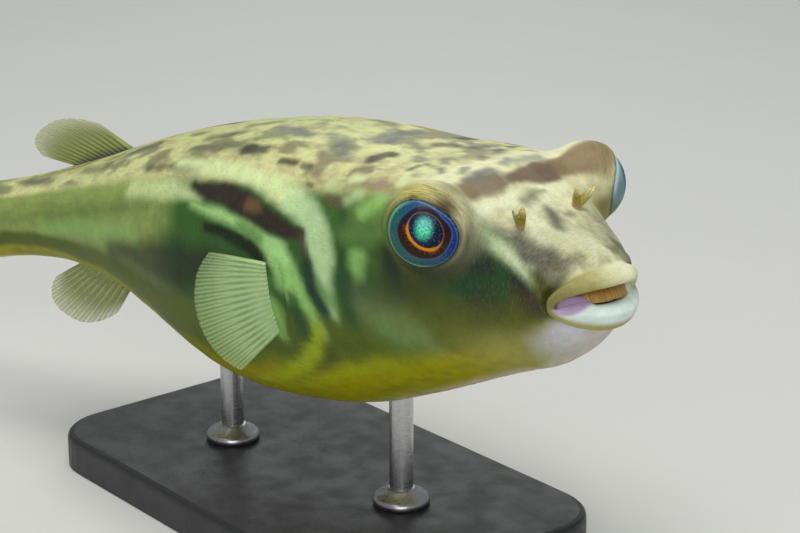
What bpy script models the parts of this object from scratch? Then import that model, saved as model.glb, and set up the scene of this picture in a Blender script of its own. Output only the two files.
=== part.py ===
"""Nile puffer (Tetraodon lineatus), a still life-size model held by a plain display stand.

Metres, +Z up, head towards +X. The fish is described straight, in millimetres from the
front of its mouth: x forward, y to its left, z up. bend_body() then curves it along its
spine, with the tail swung to its right. The whole model is centred over the origin, and
the stand rests on z = 0.
"""
from math import cos, pi, radians, sin

import bmesh
import bpy
import numpy as np
from mathutils import Matrix, Vector
from mathutils.bvhtree import BVHTree

MM = 0.001
GAP = 0.3
COLLECTION = "freshwater_pufferfish"

# Where the body is parted, in mm behind the mouth.
HEAD_END = 67.0
TRUNK_END = 150.0
STANDARD_LENGTH = 200.0

# Cross sections from the tail's end to the snout:
# mm behind the mouth, half width, height of the widest line, rise above it, drop below it,
# squareness of the upper half, squareness of the lower half (2 is an ellipse).
BODY_SECTIONS = (
    (200.0, 4.0, 0.0, 10.0, 10.0, 2.0, 2.0),
    (184.0, 6.0, 0.0, 9.4, 9.4, 2.0, 2.0),
    (168.0, 9.5, 0.0, 10.8, 10.6, 2.1, 2.1),
    (150.0, 15.0, 0.0, 14.6, 14.2, 2.2, 2.1),
    (131.0, 21.5, 0.0, 20.0, 21.6, 2.3, 2.2),
    (110.0, 27.0, -1.0, 25.0, 30.6, 2.3, 2.2),
    (90.0, 29.0, -1.0, 26.4, 33.6, 2.4, 2.2),
    (70.0, 28.8, -1.0, 24.8, 32.8, 2.6, 2.2),
    (55.0, 27.2, 0.0, 21.4, 30.6, 2.8, 2.2),
    (42.0, 25.2, 1.0, 18.5, 28.2, 3.4, 2.3),
    (31.0, 22.6, 1.5, 16.3, 25.4, 3.6, 2.3),
    (22.0, 17.8, 1.0, 11.4, 22.0, 2.5, 2.2),
    (14.0, 14.2, 0.3, 8.4, 18.2, 2.1, 2.1),
)
# Rings round the mouth: x at the top, at the bottom and at the sides, then as above.
# The mouth's corners droop, so an inner ring may rise on both its halves: its drop is then below 0.
LIP_FOLD = (-4.6, -3.0, -9.0, 11.6, -2.6, 6.7, 5.2, 2.0, 2.0)
LIP_EDGE = (-3.0, -2.6, -8.4, 9.6, -3.0, 3.7, -0.2, 2.0, 2.0)
SNOUT_RINGS = (
    (-9.0, -8.0, -11.2, 12.7, -0.4, 7.2, 13.0, 2.0, 2.0),
    (-5.6, -4.2, -9.7, 11.9, -1.7, 6.9, 7.1, 2.0, 2.0),
)
LIP_RINGS = (
    LIP_FOLD,
    (-2.8, -1.6, -8.2, 11.9, -2.8, 6.3, 5.0, 2.0, 2.0),
    (-0.9, 0.0, -7.4, 11.4, -2.9, 5.4, 3.0, 2.0, 2.0),
    (-0.4, 0.6, -7.0, 10.8, -3.0, 4.5, 1.3, 2.0, 2.0),
    (-1.1, -0.3, -7.3, 10.2, -3.0, 3.9, 0.2, 2.0, 2.0),
    LIP_EDGE,
)
MOUTH_RINGS = (
    (-4.2, -4.2, -9.2, 9.0, -2.0, 3.8, 1.8, 2.0, 2.0),
    (-9.5, -9.5, -11.5, 7.8, -1.4, 3.6, 3.0, 2.0, 2.0),
    (-14.0, -14.0, -14.5, 4.5, -1.2, 2.6, 2.6, 2.0, 2.0),
)
MOUTH_DEPTH = 16.5
MOUTH_MIDDLE = -1.2

# The spine: (mm behind the mouth, degrees). Yaw swings the body to the right going back,
# pitch lowers it going back.
SPINE_YAW = ((0, 0), (45, 0), (70, 3), (100, 9), (130, 15), (160, 19), (200, 21), (260, 21))
SPINE_PITCH = ((0, 0), (15, 1), (30, 5), (45, 9), (80, 9), (115, 5), (145, 6), (175, 11),
               (200, 14), (260, 15))
SPINE_STEPS = 1061

# Eyes: mirrored about the middle, the left one then shifted a little out and up.
EYE_CENTRE = (-31.5, 20.3, 9.1)
LEFT_EYE_SHIFT = (0.0, 0.8, 0.85)
EYE_AXIS = (0.60, 0.79, 0.05)
EYE_BALL_RADIUS = 8.1
EYE_OPENING = radians(58.5)
EYE_DEPTH = 3.0
BROW_RADIUS = 8.7
BROW_INSET = 4.0
BROW_BLEND = 3.0

# Fins: first and last station of the root, mm behind the mouth.
DORSAL_ROOT = (143.0, 160.0)
ANAL_ROOT = (147.0, 162.0)
FIN_EDGE = 0.7
CAUDAL_LENGTH = 46.0
PECTORAL_STATION = 72.0
PECTORAL_ROOT = (radians(84), radians(111))
PECTORAL_SPREAD = (14.0, -38.0)
DORSAL_HEIGHT = 19.0
ANAL_HEIGHT = 21.0
PECTORAL_LIFT = 1.2

# Nostril tentacles, one each side of the snout.
NOSTRIL_STATION = 19.5
NOSTRIL_SIDE = 7.6

# Beak plates just inside the lips.
BEAK_CENTRE_X = -8.2
BEAK_DEPTH = 3.8
BEAK_HALF_WIDTH = 5.4
BEAK_WALL = 1.1
BEAK_BITE = -2.0
BEAK_ROOTS = {1: 0.8, -1: -3.3}
BEAK_ARC = radians(68)

# Display stand.
BASE_SIZE = (120.0, 68.0, 8.0)
BASE_CORNER = 13.0
BASE_ROUND = 1.5
BASE_TO_BELLY = 20.0
BASE_MIDDLE_STATION = 92.0
ROD_RADIUS = 2.6
ROD_STATIONS = {"stand_rod_front": 64.0, "stand_rod_rear": 118.0}

COLOURS = {
    "skin": ((0.42, 0.46, 0.24), 0.45, 0.0),
    "lip": ((0.66, 0.64, 0.38), 0.4, 0.0),
    "fin": ((0.52, 0.48, 0.16), 0.4, 0.0),
    "eye": ((0.03, 0.08, 0.22), 0.08, 0.0),
    "tentacle": ((0.42, 0.30, 0.10), 0.5, 0.0),
    "beak": ((0.62, 0.40, 0.16), 0.35, 0.0),
    "base": ((0.035, 0.035, 0.038), 0.45, 0.0),
    "rod": ((0.60, 0.60, 0.61), 0.3, 1.0),
}


def clear_scene():
    """Removes every object of the startup scene."""
    for old in list(bpy.data.objects):
        bpy.data.objects.remove(old, do_unlink=True)


def new_collection(name):
    made = bpy.data.collections.new(name)
    bpy.context.scene.collection.children.link(made)
    return made


def material(name):
    """The Principled material of this name, made once."""
    found = bpy.data.materials.get(name)
    if found:
        return found
    colour, roughness, metallic = COLOURS[name]
    found = bpy.data.materials.new(name)
    found.use_nodes = True
    shader = found.node_tree.nodes["Principled BSDF"]
    shader.inputs["Base Color"].default_value = (*colour, 1.0)
    shader.inputs["Roughness"].default_value = roughness
    shader.inputs["Metallic"].default_value = metallic
    found.diffuse_color = (*colour, 1.0)
    return found


def add_mesh(name, points, faces, finish, collection):
    """A mesh object from points in millimetres, smooth except at sharp edges."""
    mesh = bpy.data.meshes.new(name)
    mesh.from_pydata([tuple(p) for p in np.asarray(points) * MM], [], faces)
    made = bpy.data.objects.new(name, mesh)
    collection.objects.link(made)
    mesh.materials.append(material(finish))
    make_outward(mesh)
    mesh.shade_smooth()
    mesh.set_sharp_from_angle(angle=radians(40))
    return made


def make_outward(mesh):
    """Turns the faces of a closed mesh outwards."""
    work = bmesh.new()
    work.from_mesh(mesh)
    bmesh.ops.recalc_face_normals(work, faces=work.faces)
    if work.calc_volume(signed=True) < 0:
        bmesh.ops.reverse_faces(work, faces=work.faces)
    work.to_mesh(mesh)
    work.free()


def smooth_curve(xs, ys, x):
    """Cubic through the knots (xs, ys) with slopes from their neighbours, read at x."""
    xs = np.asarray(xs, float)
    ys = np.asarray(ys, float)
    slopes = np.gradient(ys, xs)
    steps = np.diff(xs)
    i = np.clip(np.searchsorted(xs, x) - 1, 0, len(xs) - 2)
    t = np.clip((x - xs[i]) / steps[i], 0, 1)
    value = (2 * t**3 - 3 * t**2 + 1) * ys[i] + (3 * t**2 - 2 * t**3) * ys[i + 1]
    return value + steps[i] * ((t**3 - 2 * t**2 + t) * slopes[i] + (t**3 - t**2) * slopes[i + 1])


def ring_points(ring, around):
    """One ring of the body at the angles around: 0 is the top, a quarter turn is the right.

    Each half is a superellipse, and the ring's x runs from its side value to its top or
    bottom value with the square of the cosine.
    """
    x_top, x_bottom, x_side, half, middle, rise, drop, square_top, square_bottom = ring
    c = np.cos(around)
    s = np.sin(around)
    upper = c >= 0
    power = np.where(upper, square_top, square_bottom)
    size = (np.abs(s) ** power + np.abs(c) ** power) ** (1 / power)
    x = x_side + (np.where(upper, x_top, x_bottom) - x_side) * c**2
    z = middle + np.where(upper, rise, drop) * c / size
    return np.stack([x, -half * s / size, z], -1)


def outer_rings():
    """Every outer ring from the tail's end to the lip fold, as full nine-number rings."""
    rings = [(-s, -s, -s, *rest) for s, *rest in BODY_SECTIONS]
    return np.array(rings + list(SNOUT_RINGS) + [LIP_FOLD], float)


def run_lengths(rings):
    """Distance along the body to each ring, by its top line or its change of width."""
    crown = np.stack([rings[:, 0], rings[:, 4] + rings[:, 5]], 1)
    steps = np.linalg.norm(np.diff(crown, axis=0), axis=1)
    return np.r_[0.0, np.cumsum(np.maximum(steps, np.abs(np.diff(rings[:, 3]))))]


def rings_at(rings, runs, at):
    """Rings interpolated at the distances at."""
    return np.stack([smooth_curve(runs, rings[:, k], at) for k in range(rings.shape[1])], 1)


def station_ring(station):
    """The ring of the trunk or tail at a station in mm behind the mouth."""
    rings = outer_rings()
    runs = run_lengths(rings)
    fine = np.linspace(0, runs[-1], 4000)
    side_x = smooth_curve(runs, rings[:, 2], fine)
    at = np.interp(-station, side_x, fine)
    return rings_at(rings, runs, np.array([at]))[0]


def bend_body(points):
    """Curves the straight fish along its spine.

    The spine runs back from the mouth with the yaw and pitch of the tables; each point
    keeps its offsets to the left and up from the spine at its own station.
    """
    points = np.asarray(points, float)
    stations = np.linspace(-5, 260, SPINE_STEPS)
    along = np.maximum(stations, 0)
    yaw = np.radians(smooth_curve(*zip(*SPINE_YAW), along))
    pitch = np.radians(smooth_curve(*zip(*SPINE_PITCH), along))
    forward = np.stack([np.cos(pitch) * np.cos(yaw), np.cos(pitch) * np.sin(yaw), np.sin(pitch)], 1)
    left = np.stack([-np.sin(yaw), np.cos(yaw), 0 * yaw], 1)
    up = np.cross(forward, left)
    spine = -np.cumsum(forward, axis=0) * (stations[1] - stations[0])
    spine -= spine[np.argmin(np.abs(stations))]

    def read(table):
        return np.stack([np.interp(-points[..., 0], stations, table[:, k]) for k in range(3)], -1)

    return read(spine) + read(left) * points[..., 1:2] + read(up) * points[..., 2:3]


def smooth_max(a, b, blend):
    h = np.clip(0.5 + 0.5 * (a - b) / blend, 0, 1)
    return b + (a - b) * h + blend * h * (1 - h)


def eye_frame(side):
    """Centre and outward axis of an eye; side is 1 for the left and -1 for the right."""
    mirror = np.array([1.0, side, 1.0])
    axis = np.array(EYE_AXIS) * mirror
    centre = np.array(EYE_CENTRE) * mirror
    if side > 0:
        centre = centre + LEFT_EYE_SHIFT
    return centre, axis / np.linalg.norm(axis)


def raise_brows(points):
    """Pushes the skin out into a round brow over each eye.

    A point moves along the ray from a spot inset behind the eye's centre, to where the
    ray leaves the brow's sphere, blended with where the point already was.
    """
    for side in (-1, 1):
        centre, axis = eye_frame(side)
        inset = -axis * BROW_INSET
        offset = points - (centre + inset)
        distance = np.linalg.norm(offset, axis=-1)
        ray = offset / np.maximum(distance, 1e-9)[..., None]
        lean = ray @ inset
        reach = -lean + np.sqrt(lean**2 - BROW_INSET**2 + BROW_RADIUS**2)
        points = points + (smooth_max(distance, reach, BROW_BLEND) - distance)[..., None] * ray
    return points


def body_point(station, around, lift=0.0):
    """A point of the finished trunk or tail, lift mm off the skin, at an angle around."""
    ring = station_ring(station)
    flat = ring_points(ring, np.array([around]))[0]
    towards = np.array([0.0, flat[1], flat[2] - ring[4]])
    flat = flat + towards / np.linalg.norm(towards) * lift
    return bend_body(flat)


def loft(rows, start="cap", end="cap"):
    """Points and faces of a closed surface through rings of equal count.

    An end is a cap, or a pole, which is a single point given as the last row.
    """
    count = len(rows[0])
    rings = rows[:-1] if end == "pole" else rows
    points = np.concatenate(rings)
    faces = []
    for r in range(len(rings) - 1):
        for k in range(count):
            n = (k + 1) % count
            faces.append((r * count + k, r * count + n, (r + 1) * count + n, (r + 1) * count + k))
    last = (len(rings) - 1) * count
    if start == "cap":
        faces.append(tuple(range(count)))
    if end == "cap":
        faces.append(tuple(range(last, last + count)))
    else:
        points = np.concatenate([points, rows[-1]])
        faces += [(last + k, last + (k + 1) % count, len(points) - 1) for k in range(count)]
    return points, faces


def body_rows(first, last, rows, around):
    """Finished rings of the straight body between two stations, from back to front."""
    rings = outer_rings()
    runs = run_lengths(rings)
    fine = np.linspace(0, runs[-1], 4000)
    side_x = smooth_curve(runs, rings[:, 2], fine)
    start = np.interp(-first, side_x, fine)
    stop = runs[-1] if last is None else np.interp(-last, side_x, fine)
    return [ring_points(r, around) for r in rings_at(rings, runs, np.linspace(start, stop, rows))]


def finish(rows):
    """Bends rows of points and raises the brows on them."""
    return [raise_brows(bend_body(row)) for row in rows]


def around_angles(count):
    return np.arange(count) * 2 * pi / count


def shifted(ring, back):
    """The same ring moved back by some millimetres."""
    return (ring[0] - back, ring[1] - back, ring[2] - back, *ring[3:])


def make_head(parts, cutters):
    around = around_angles(48)
    rows = body_rows(HEAD_END - GAP / 2, None, 29, around)
    rows[-1] = ring_points(shifted(LIP_FOLD, GAP), around)
    rows.append(ring_points(shifted(LIP_EDGE, GAP), around))
    rows += [ring_points(ring, around) for ring in MOUTH_RINGS]
    rows.append(np.array([[-MOUTH_DEPTH, 0.0, MOUTH_MIDDLE]]))
    head = add_mesh("head", *loft(finish(rows), end="pole"), "skin", parts)
    for name, side in (("eye_right", -1), ("eye_left", 1)):
        cutter = turned(name + "_socket", eye_profile(GAP), side, "skin", cutters)
        cutter.hide_render = True
        cutter.display_type = "WIRE"
        cut = head.modifiers.new(name + "_socket", "BOOLEAN")
        cut.operation = "DIFFERENCE"
        cut.solver = "EXACT"
        cut.object = cutter


def eye_profile(grow):
    """Outline of an eye, from the pole of its ball round the opening and down to its back.

    With grow it is the socket: wider and deeper by that much, and open in front.
    """
    radius = EYE_BALL_RADIUS
    rim = radius * sin(EYE_OPENING)
    shoulder = radius * cos(EYE_OPENING)
    back = shoulder - EYE_DEPTH - grow
    if grow:
        return [(0.0, radius + 4), (rim + grow, radius + 4), (rim + grow, back), (0.0, back)]
    angles = np.linspace(0, EYE_OPENING, 7)
    return [(radius * sin(t), radius * cos(t)) for t in angles] + [(rim, back), (0.0, back)]


def turned(name, profile, side, finish_name, collection, steps=28):
    """A profile of (radius, height) in mm turned about an eye's axis."""
    mesh = bpy.data.meshes.new(name)
    points = [(r * MM, 0.0, h * MM) for r, h in profile]
    mesh.from_pydata(points, [(i, i + 1) for i in range(len(points) - 1)], [])
    mesh.materials.append(material(finish_name))
    made = bpy.data.objects.new(name, mesh)
    collection.objects.link(made)
    screw = made.modifiers.new("turn", "SCREW")
    screw.steps = steps
    screw.render_steps = steps
    screw.use_merge_vertices = True
    screw.merge_threshold = 0.00001
    centre, axis = eye_frame(side)
    made.location = Vector(centre) * MM
    made.rotation_euler = Vector(axis).to_track_quat("Z", "Y").to_euler()
    return made


def make_trunk_and_tail(parts):
    trunk = finish(body_rows(TRUNK_END - GAP / 2, HEAD_END + GAP / 2, 15, around_angles(40)))
    add_mesh("trunk", *loft(trunk), "skin", parts)
    tail = finish(body_rows(STANDARD_LENGTH, TRUNK_END + GAP / 2, 9, around_angles(28)))
    add_mesh("tail", *loft(tail), "skin", parts)


def make_lip(name, middle, parts):
    """Half of the ring of lips, about the angle middle, closed at the mouth's corners."""
    corner = pi / 2 - radians(2.2)
    rows = []
    for around in np.linspace(middle - corner, middle + corner, 23):
        section = [ring_points(ring, np.array([around]))[0] for ring in LIP_RINGS]
        rows.append(bend_body(np.array(section)))
    add_mesh(name, *loft(rows), "lip", parts)


def make_beak(name, up, parts):
    """An upright curved plate inside the mouth; up is 1 for the upper jaw, -1 for the lower."""
    rows = []
    for turn in np.linspace(-BEAK_ARC, BEAK_ARC, 13):
        outer = np.array([BEAK_CENTRE_X + BEAK_DEPTH * cos(turn), BEAK_HALF_WIDTH * sin(turn)])
        inner = outer - BEAK_WALL * np.array([cos(turn), sin(turn)])
        bite = BEAK_BITE + up * 0.25
        root = BEAK_ROOTS[up]
        rows.append(bend_body(np.array([
            (outer[0], outer[1], bite), (outer[0], outer[1], root),
            (inner[0], inner[1], root), (inner[0], inner[1], bite)])))
    add_mesh(name, *loft(rows), "beak", parts)


def fin_rows(root, reach, curl, thick_root, steps=7):
    """Closed sections of a fin, one for each of its rays.

    root and reach hold each ray's foot and its direction times its length, curl is how far
    the tip bends out of the fin's plane, and the blade thins from its root to its edge.
    """
    along = np.linspace(0, 1, steps)[:, None]
    across = np.gradient(root + 0.5 * reach, axis=0)
    rows = []
    for foot, ray, side in zip(root, reach, across):
        normal = np.cross(ray, side)
        normal /= np.linalg.norm(normal)
        spine = foot + along * ray + curl * along**2 * normal
        half = 0.5 * (thick_root + (FIN_EDGE - thick_root) * along**0.7)
        rows.append(np.concatenate([spine + half * normal, (spine - half * normal)[::-1]]))
    return rows


def rounded_lengths(count, shortest, longest, squareness=2.5):
    """Ray lengths of a fan with a rounded margin."""
    q = np.linspace(-1, 1, count)
    return shortest + (longest - shortest) * (1 - np.abs(q) ** squareness)


def local_axes(station):
    """Forward, left and up of the body at a station."""
    spot = bend_body([(-station, 0.0, 0.0), (1 - station, 0.0, 0.0), (-station, 1.0, 0.0),
                      (-station, 0.0, 1.0)])
    return spot[1] - spot[0], spot[2] - spot[0], spot[3] - spot[0]


def make_median_fin(name, stations, around, height, lean, parts):
    """The dorsal fin at around 0 or the anal fin at half a turn, leaning back."""
    count = 11
    root = np.array([body_point(s, around, GAP) for s in np.linspace(*stations, count)])
    forward, _, up = local_axes(sum(stations) / 2)
    out = up if around == 0 else -up
    lengths = rounded_lengths(count, 0.55 * height, height)
    leans = np.radians(np.linspace(*lean, count))
    reach = np.array([n * (cos(a) * out - sin(a) * forward) for n, a in zip(lengths, leans)])
    add_mesh(name, *loft(fin_rows(root, reach, 0.0, 2.2)), "fin", parts)


def make_caudal_fin(parts):
    """A fan on the end of the tail, its margin rounded."""
    count = 17
    end = station_ring(STANDARD_LENGTH)
    heights = np.linspace(end[5] - 0.8, 0.8 - end[6], count)
    root = bend_body([(-STANDARD_LENGTH - GAP, 0.0, h) for h in heights])
    forward, _, up = local_axes(STANDARD_LENGTH)
    spread = np.radians(np.linspace(17, -17, count))
    lengths = rounded_lengths(count, 0.84 * CAUDAL_LENGTH, CAUDAL_LENGTH, 2.0)
    reach = np.array([n * (sin(a) * up - cos(a) * forward) for n, a in zip(lengths, spread)])
    add_mesh("caudal_fin", *loft(fin_rows(root, reach, 3.0, 3.0, 9)), "fin", parts)


def make_pectoral_fin(name, side, parts):
    """A broad rounded fan behind the gill opening, laid back along the flank."""
    count = 15
    angles = np.linspace(*PECTORAL_ROOT, count) * -side
    root = np.array([body_point(PECTORAL_STATION, a, PECTORAL_LIFT) for a in angles])
    forward, left, up = local_axes(PECTORAL_STATION)
    flare = radians(25)
    back = -cos(flare) * forward + sin(flare) * side * left
    spread = np.radians(np.linspace(*PECTORAL_SPREAD, count))
    lengths = rounded_lengths(count, 11.5, 16.5, 2.0)
    reach = np.array([n * (sin(a) * up + cos(a) * back) for n, a in zip(lengths, spread)])
    add_mesh(name, *loft(fin_rows(root, reach, -1.5 * side, 1.8)), "fin", parts)


def snout_point(station, side_offset, lift):
    """A point of the snout's upper side and the outward direction there."""
    ring = station_ring(station)
    around = np.linspace(0, pi / 2, 400) * (1 if side_offset < 0 else -1)
    points = ring_points(ring, around)
    k = int(np.argmin(np.abs(points[:, 1] - side_offset)))
    outward = np.array([0.25, points[k, 1] / ring[3] ** 2, (points[k, 2] - ring[4]) / ring[5] ** 2])
    outward[0] *= np.linalg.norm(outward[1:])
    outward /= np.linalg.norm(outward)
    return raise_brows(bend_body(points[k])) + lift * outward, outward


def make_nostril(name, side, parts, cutters):
    """A short stalk that forks into two tapered tentacles."""
    base, outward = snout_point(NOSTRIL_STATION, side * NOSTRIL_SIDE, GAP)
    across = np.cross(outward, (1.0, 0.0, 0.0))
    across /= np.linalg.norm(across)
    fork = (-0.9, 0.35)
    prongs = []
    for index, lean in enumerate(fork):
        centres = [base + h * outward + (h / 4.6) ** 1.4 * lean * across * 2.0
                   for h in np.linspace(0, 4.6 - index, 6)]
        radii = np.array([0.95, 0.85, 0.75, 0.62, 0.5, 0.3])
        rows = [ring_about(c, outward, r) for c, r in zip(centres, radii)]
        target = parts if index == 0 else cutters
        prongs.append(add_mesh(name + ("" if index == 0 else "_fork"), *loft(rows), "tentacle", target))
    prongs[1].hide_render = True
    prongs[1].display_type = "WIRE"
    join = prongs[0].modifiers.new("fork", "BOOLEAN")
    join.operation = "UNION"
    join.solver = "EXACT"
    join.object = prongs[1]


def ring_about(centre, axis, radius, count=10):
    """A circle of points about a centre, square to an axis."""
    turn = Vector(axis).to_track_quat("Z", "Y").to_matrix()
    return np.array([np.array(centre) + np.array(turn @ Vector((radius * cos(a), radius * sin(a), 0.0)))
                     for a in around_angles(count)])


def evaluated_tree(name):
    graph = bpy.context.evaluated_depsgraph_get()
    return BVHTree.FromObject(bpy.data.objects[name], graph)


def belly_height(trees, x, y):
    """Height in mm of the underside of the fish above a spot of the stand."""
    hits = [tree.ray_cast(Vector((x * MM, y * MM, -1.0)), Vector((0, 0, 1)))[0] for tree in trees]
    return min(hit.z for hit in hits if hit) / MM


def make_stand(parts):
    """A flat base with rounded corners, and two rods cut to the belly's shape."""
    trees = [evaluated_tree("head"), evaluated_tree("trunk")]
    lowest = min(belly_height(trees, *bend_body((-s, 0.0, 0.0))[:2]) for s in range(40, 140, 4))
    top = lowest - BASE_TO_BELLY
    middle = bend_body((-BASE_MIDDLE_STATION, 0.0, 0.0))
    bpy.ops.mesh.primitive_cube_add(size=1)
    base = bpy.context.object
    base.name = "stand_base"
    length, width, thick = BASE_SIZE
    base.data.transform(Matrix.Diagonal((length * MM, width * MM, thick * MM, 1.0)))
    base.location = (middle[0] * MM, middle[1] * MM, (top - thick / 2) * MM)
    round_edges(base.data, lambda edge: abs(edge.verts[0].co.z - edge.verts[1].co.z) > 1e-6,
                BASE_CORNER, 8)
    round_edges(base.data, lambda edge: min(v.co.z for v in edge.verts) > 0.49 * thick * MM,
                BASE_ROUND, 3)
    settle(base, "base", parts)
    for name, station in ROD_STATIONS.items():
        make_rod(name, station, top + GAP, trees, parts)


def round_edges(mesh, chosen, radius, segments):
    work = bmesh.new()
    work.from_mesh(mesh)
    bmesh.ops.bevel(work, geom=[e for e in work.edges if chosen(e)], offset=radius * MM,
                    segments=segments, profile=0.5, affect="EDGES", clamp_overlap=True)
    work.to_mesh(mesh)
    work.free()


def settle(made, finish_name, collection):
    """Gives a primitive its material and moves it into its collection."""
    made.data.materials.append(material(finish_name))
    made.data.shade_smooth()
    made.data.set_sharp_from_angle(angle=radians(40))
    for old in list(made.users_collection):
        old.objects.unlink(made)
    collection.objects.link(made)


def make_rod(name, station, foot, trees, parts):
    """A round rod whose top follows the belly just above it."""
    x, y, _ = bend_body((-station, 0.0, 0.0))
    bpy.ops.mesh.primitive_cylinder_add(vertices=24, radius=ROD_RADIUS * MM, depth=MM)
    rod = bpy.context.object
    rod.name = name
    for vertex in rod.data.vertices:
        vertex.co.x += x * MM
        vertex.co.y += y * MM
        high = vertex.co.z > 0
        reach = belly_height(trees, vertex.co.x / MM, vertex.co.y / MM) - 1.5 * GAP
        vertex.co.z = (reach if high else foot) * MM
    settle(rod, "rod", parts)


def centre_on_stand():
    """Moves every object so that the model's box is centred over z = 0."""
    bpy.context.view_layer.update()
    graph = bpy.context.evaluated_depsgraph_get()
    corners = []
    for made in bpy.data.objects:
        if made.hide_render:
            continue
        shape = made.evaluated_get(graph)
        matrix = np.array(made.matrix_world)
        count = len(shape.data.vertices)
        points = np.empty(count * 3, np.float32)
        shape.data.vertices.foreach_get("co", points)
        corners.append(points.reshape(-1, 3) @ matrix[:3, :3].T + matrix[:3, 3])
    corners = np.concatenate(corners)
    low, high = corners.min(axis=0), corners.max(axis=0)
    shift = Vector((-(low[0] + high[0]) / 2, -(low[1] + high[1]) / 2, -low[2]))
    for made in bpy.data.objects:
        made.location += shift


def main():
    clear_scene()
    parts = new_collection(COLLECTION)
    cutters = new_collection("cutters")
    make_head(parts, cutters)
    make_trunk_and_tail(parts)
    make_lip("upper_lip", 0.0, parts)
    make_lip("lower_lip", pi, parts)
    make_beak("beak_upper", 1, parts)
    make_beak("beak_lower", -1, parts)
    for name, side in (("eye_right", -1), ("eye_left", 1)):
        turned(name, eye_profile(0.0), side, "eye", parts)
    for name, side in (("nostril_right", -1), ("nostril_left", 1)):
        make_nostril(name, side, parts, cutters)
    make_median_fin("dorsal_fin", DORSAL_ROOT, 0.0, DORSAL_HEIGHT, (58, 78), parts)
    make_median_fin("anal_fin", ANAL_ROOT, pi, ANAL_HEIGHT, (40, 66), parts)
    make_caudal_fin(parts)
    make_pectoral_fin("pectoral_right", -1, parts)
    make_pectoral_fin("pectoral_left", 1, parts)
    make_stand(parts)
    centre_on_stand()


main()
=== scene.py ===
"""Looks of the life-size Nile puffer model: one painted skin over the head, trunk, tail and lips,
glass eyes, beak plates, forked nostril tentacles, rayed fins and a plain display stand.

The fish is described straight, in millimetres from the front of its mouth (x forward, y to its
left, z up), and then bent along its spine, as its solids are. A place on the skin is given by
its station, the mm behind the mouth, and its turn, the degrees round from the back's midline.
"""

from math import cos, pi, radians, sin, tan

import bpy
import numpy as np
from mathutils import Matrix, Vector


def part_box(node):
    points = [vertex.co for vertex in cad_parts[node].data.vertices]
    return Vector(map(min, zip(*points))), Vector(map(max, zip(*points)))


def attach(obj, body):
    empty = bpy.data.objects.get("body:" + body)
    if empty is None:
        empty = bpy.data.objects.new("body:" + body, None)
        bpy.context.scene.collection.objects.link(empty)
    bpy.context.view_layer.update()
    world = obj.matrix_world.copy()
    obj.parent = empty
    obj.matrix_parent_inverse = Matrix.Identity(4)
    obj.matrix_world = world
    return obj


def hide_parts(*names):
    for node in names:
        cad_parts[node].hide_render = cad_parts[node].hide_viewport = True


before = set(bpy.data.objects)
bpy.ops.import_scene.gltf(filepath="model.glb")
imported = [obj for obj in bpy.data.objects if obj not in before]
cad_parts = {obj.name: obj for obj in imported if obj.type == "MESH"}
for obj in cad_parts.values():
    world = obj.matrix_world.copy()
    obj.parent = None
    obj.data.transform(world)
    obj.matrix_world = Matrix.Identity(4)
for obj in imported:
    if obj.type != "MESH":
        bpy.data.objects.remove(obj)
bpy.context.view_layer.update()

MM = 0.001

# Cross sections from the tail's end to the snout:
# mm behind the mouth, half width, height of the widest line, rise above it, drop below it,
# squareness of the upper half, squareness of the lower half (2 is an ellipse).
BODY_SECTIONS = (
    (200.0, 4.0, 0.0, 10.0, 10.0, 2.0, 2.0),
    (184.0, 6.0, 0.0, 9.4, 9.4, 2.0, 2.0),
    (168.0, 9.5, 0.0, 10.8, 10.6, 2.1, 2.1),
    (150.0, 15.0, 0.0, 14.6, 14.2, 2.2, 2.1),
    (131.0, 21.5, 0.0, 20.0, 21.6, 2.3, 2.2),
    (110.0, 27.0, -1.0, 25.0, 30.6, 2.3, 2.2),
    (90.0, 29.0, -1.0, 26.4, 33.6, 2.4, 2.2),
    (70.0, 28.8, -1.0, 24.8, 32.8, 2.6, 2.2),
    (55.0, 27.2, 0.0, 21.4, 30.6, 2.8, 2.2),
    (42.0, 25.2, 1.0, 18.5, 28.2, 3.4, 2.3),
    (31.0, 22.6, 1.5, 16.3, 25.4, 3.6, 2.3),
    (22.0, 17.8, 1.0, 11.4, 22.0, 2.5, 2.2),
    (14.0, 14.2, 0.3, 8.4, 18.2, 2.1, 2.1),
)
# Rings round the mouth: x at the top, at the bottom and at the sides, then as above.
SNOUT_RINGS = (
    (-9.0, -8.0, -11.2, 12.7, -0.4, 7.2, 13.0, 2.0, 2.0),
    (-5.6, -4.2, -9.7, 11.9, -1.7, 6.9, 7.1, 2.0, 2.0),
)
LIP_RINGS = (
    (-4.6, -3.0, -9.0, 11.6, -2.6, 6.7, 5.2, 2.0, 2.0),
    (-2.8, -1.6, -8.2, 11.9, -2.8, 6.3, 5.0, 2.0, 2.0),
    (-0.9, 0.0, -7.4, 11.4, -2.9, 5.4, 3.0, 2.0, 2.0),
    (-0.4, 0.6, -7.0, 10.8, -3.0, 4.5, 1.3, 2.0, 2.0),
    (-1.1, -0.3, -7.3, 10.2, -3.0, 3.9, 0.2, 2.0, 2.0),
    (-3.0, -2.6, -8.4, 9.6, -3.0, 3.7, -0.2, 2.0, 2.0),
)
MOUTH_RINGS = (
    (-4.2, -4.2, -9.2, 9.0, -2.0, 3.8, 1.8, 2.0, 2.0),
    (-9.5, -9.5, -11.5, 7.8, -1.4, 3.6, 3.0, 2.0, 2.0),
    (-14.0, -14.0, -14.5, 4.5, -1.2, 2.6, 2.6, 2.0, 2.0),
)
MOUTH_DEPTH = 16.5
MOUTH_MIDDLE = -1.2
# The upper lip's corners stop so far short of the lips' widest line.
LIP_CORNER = radians(2.2)
GUM_RISE = 2.3
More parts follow.
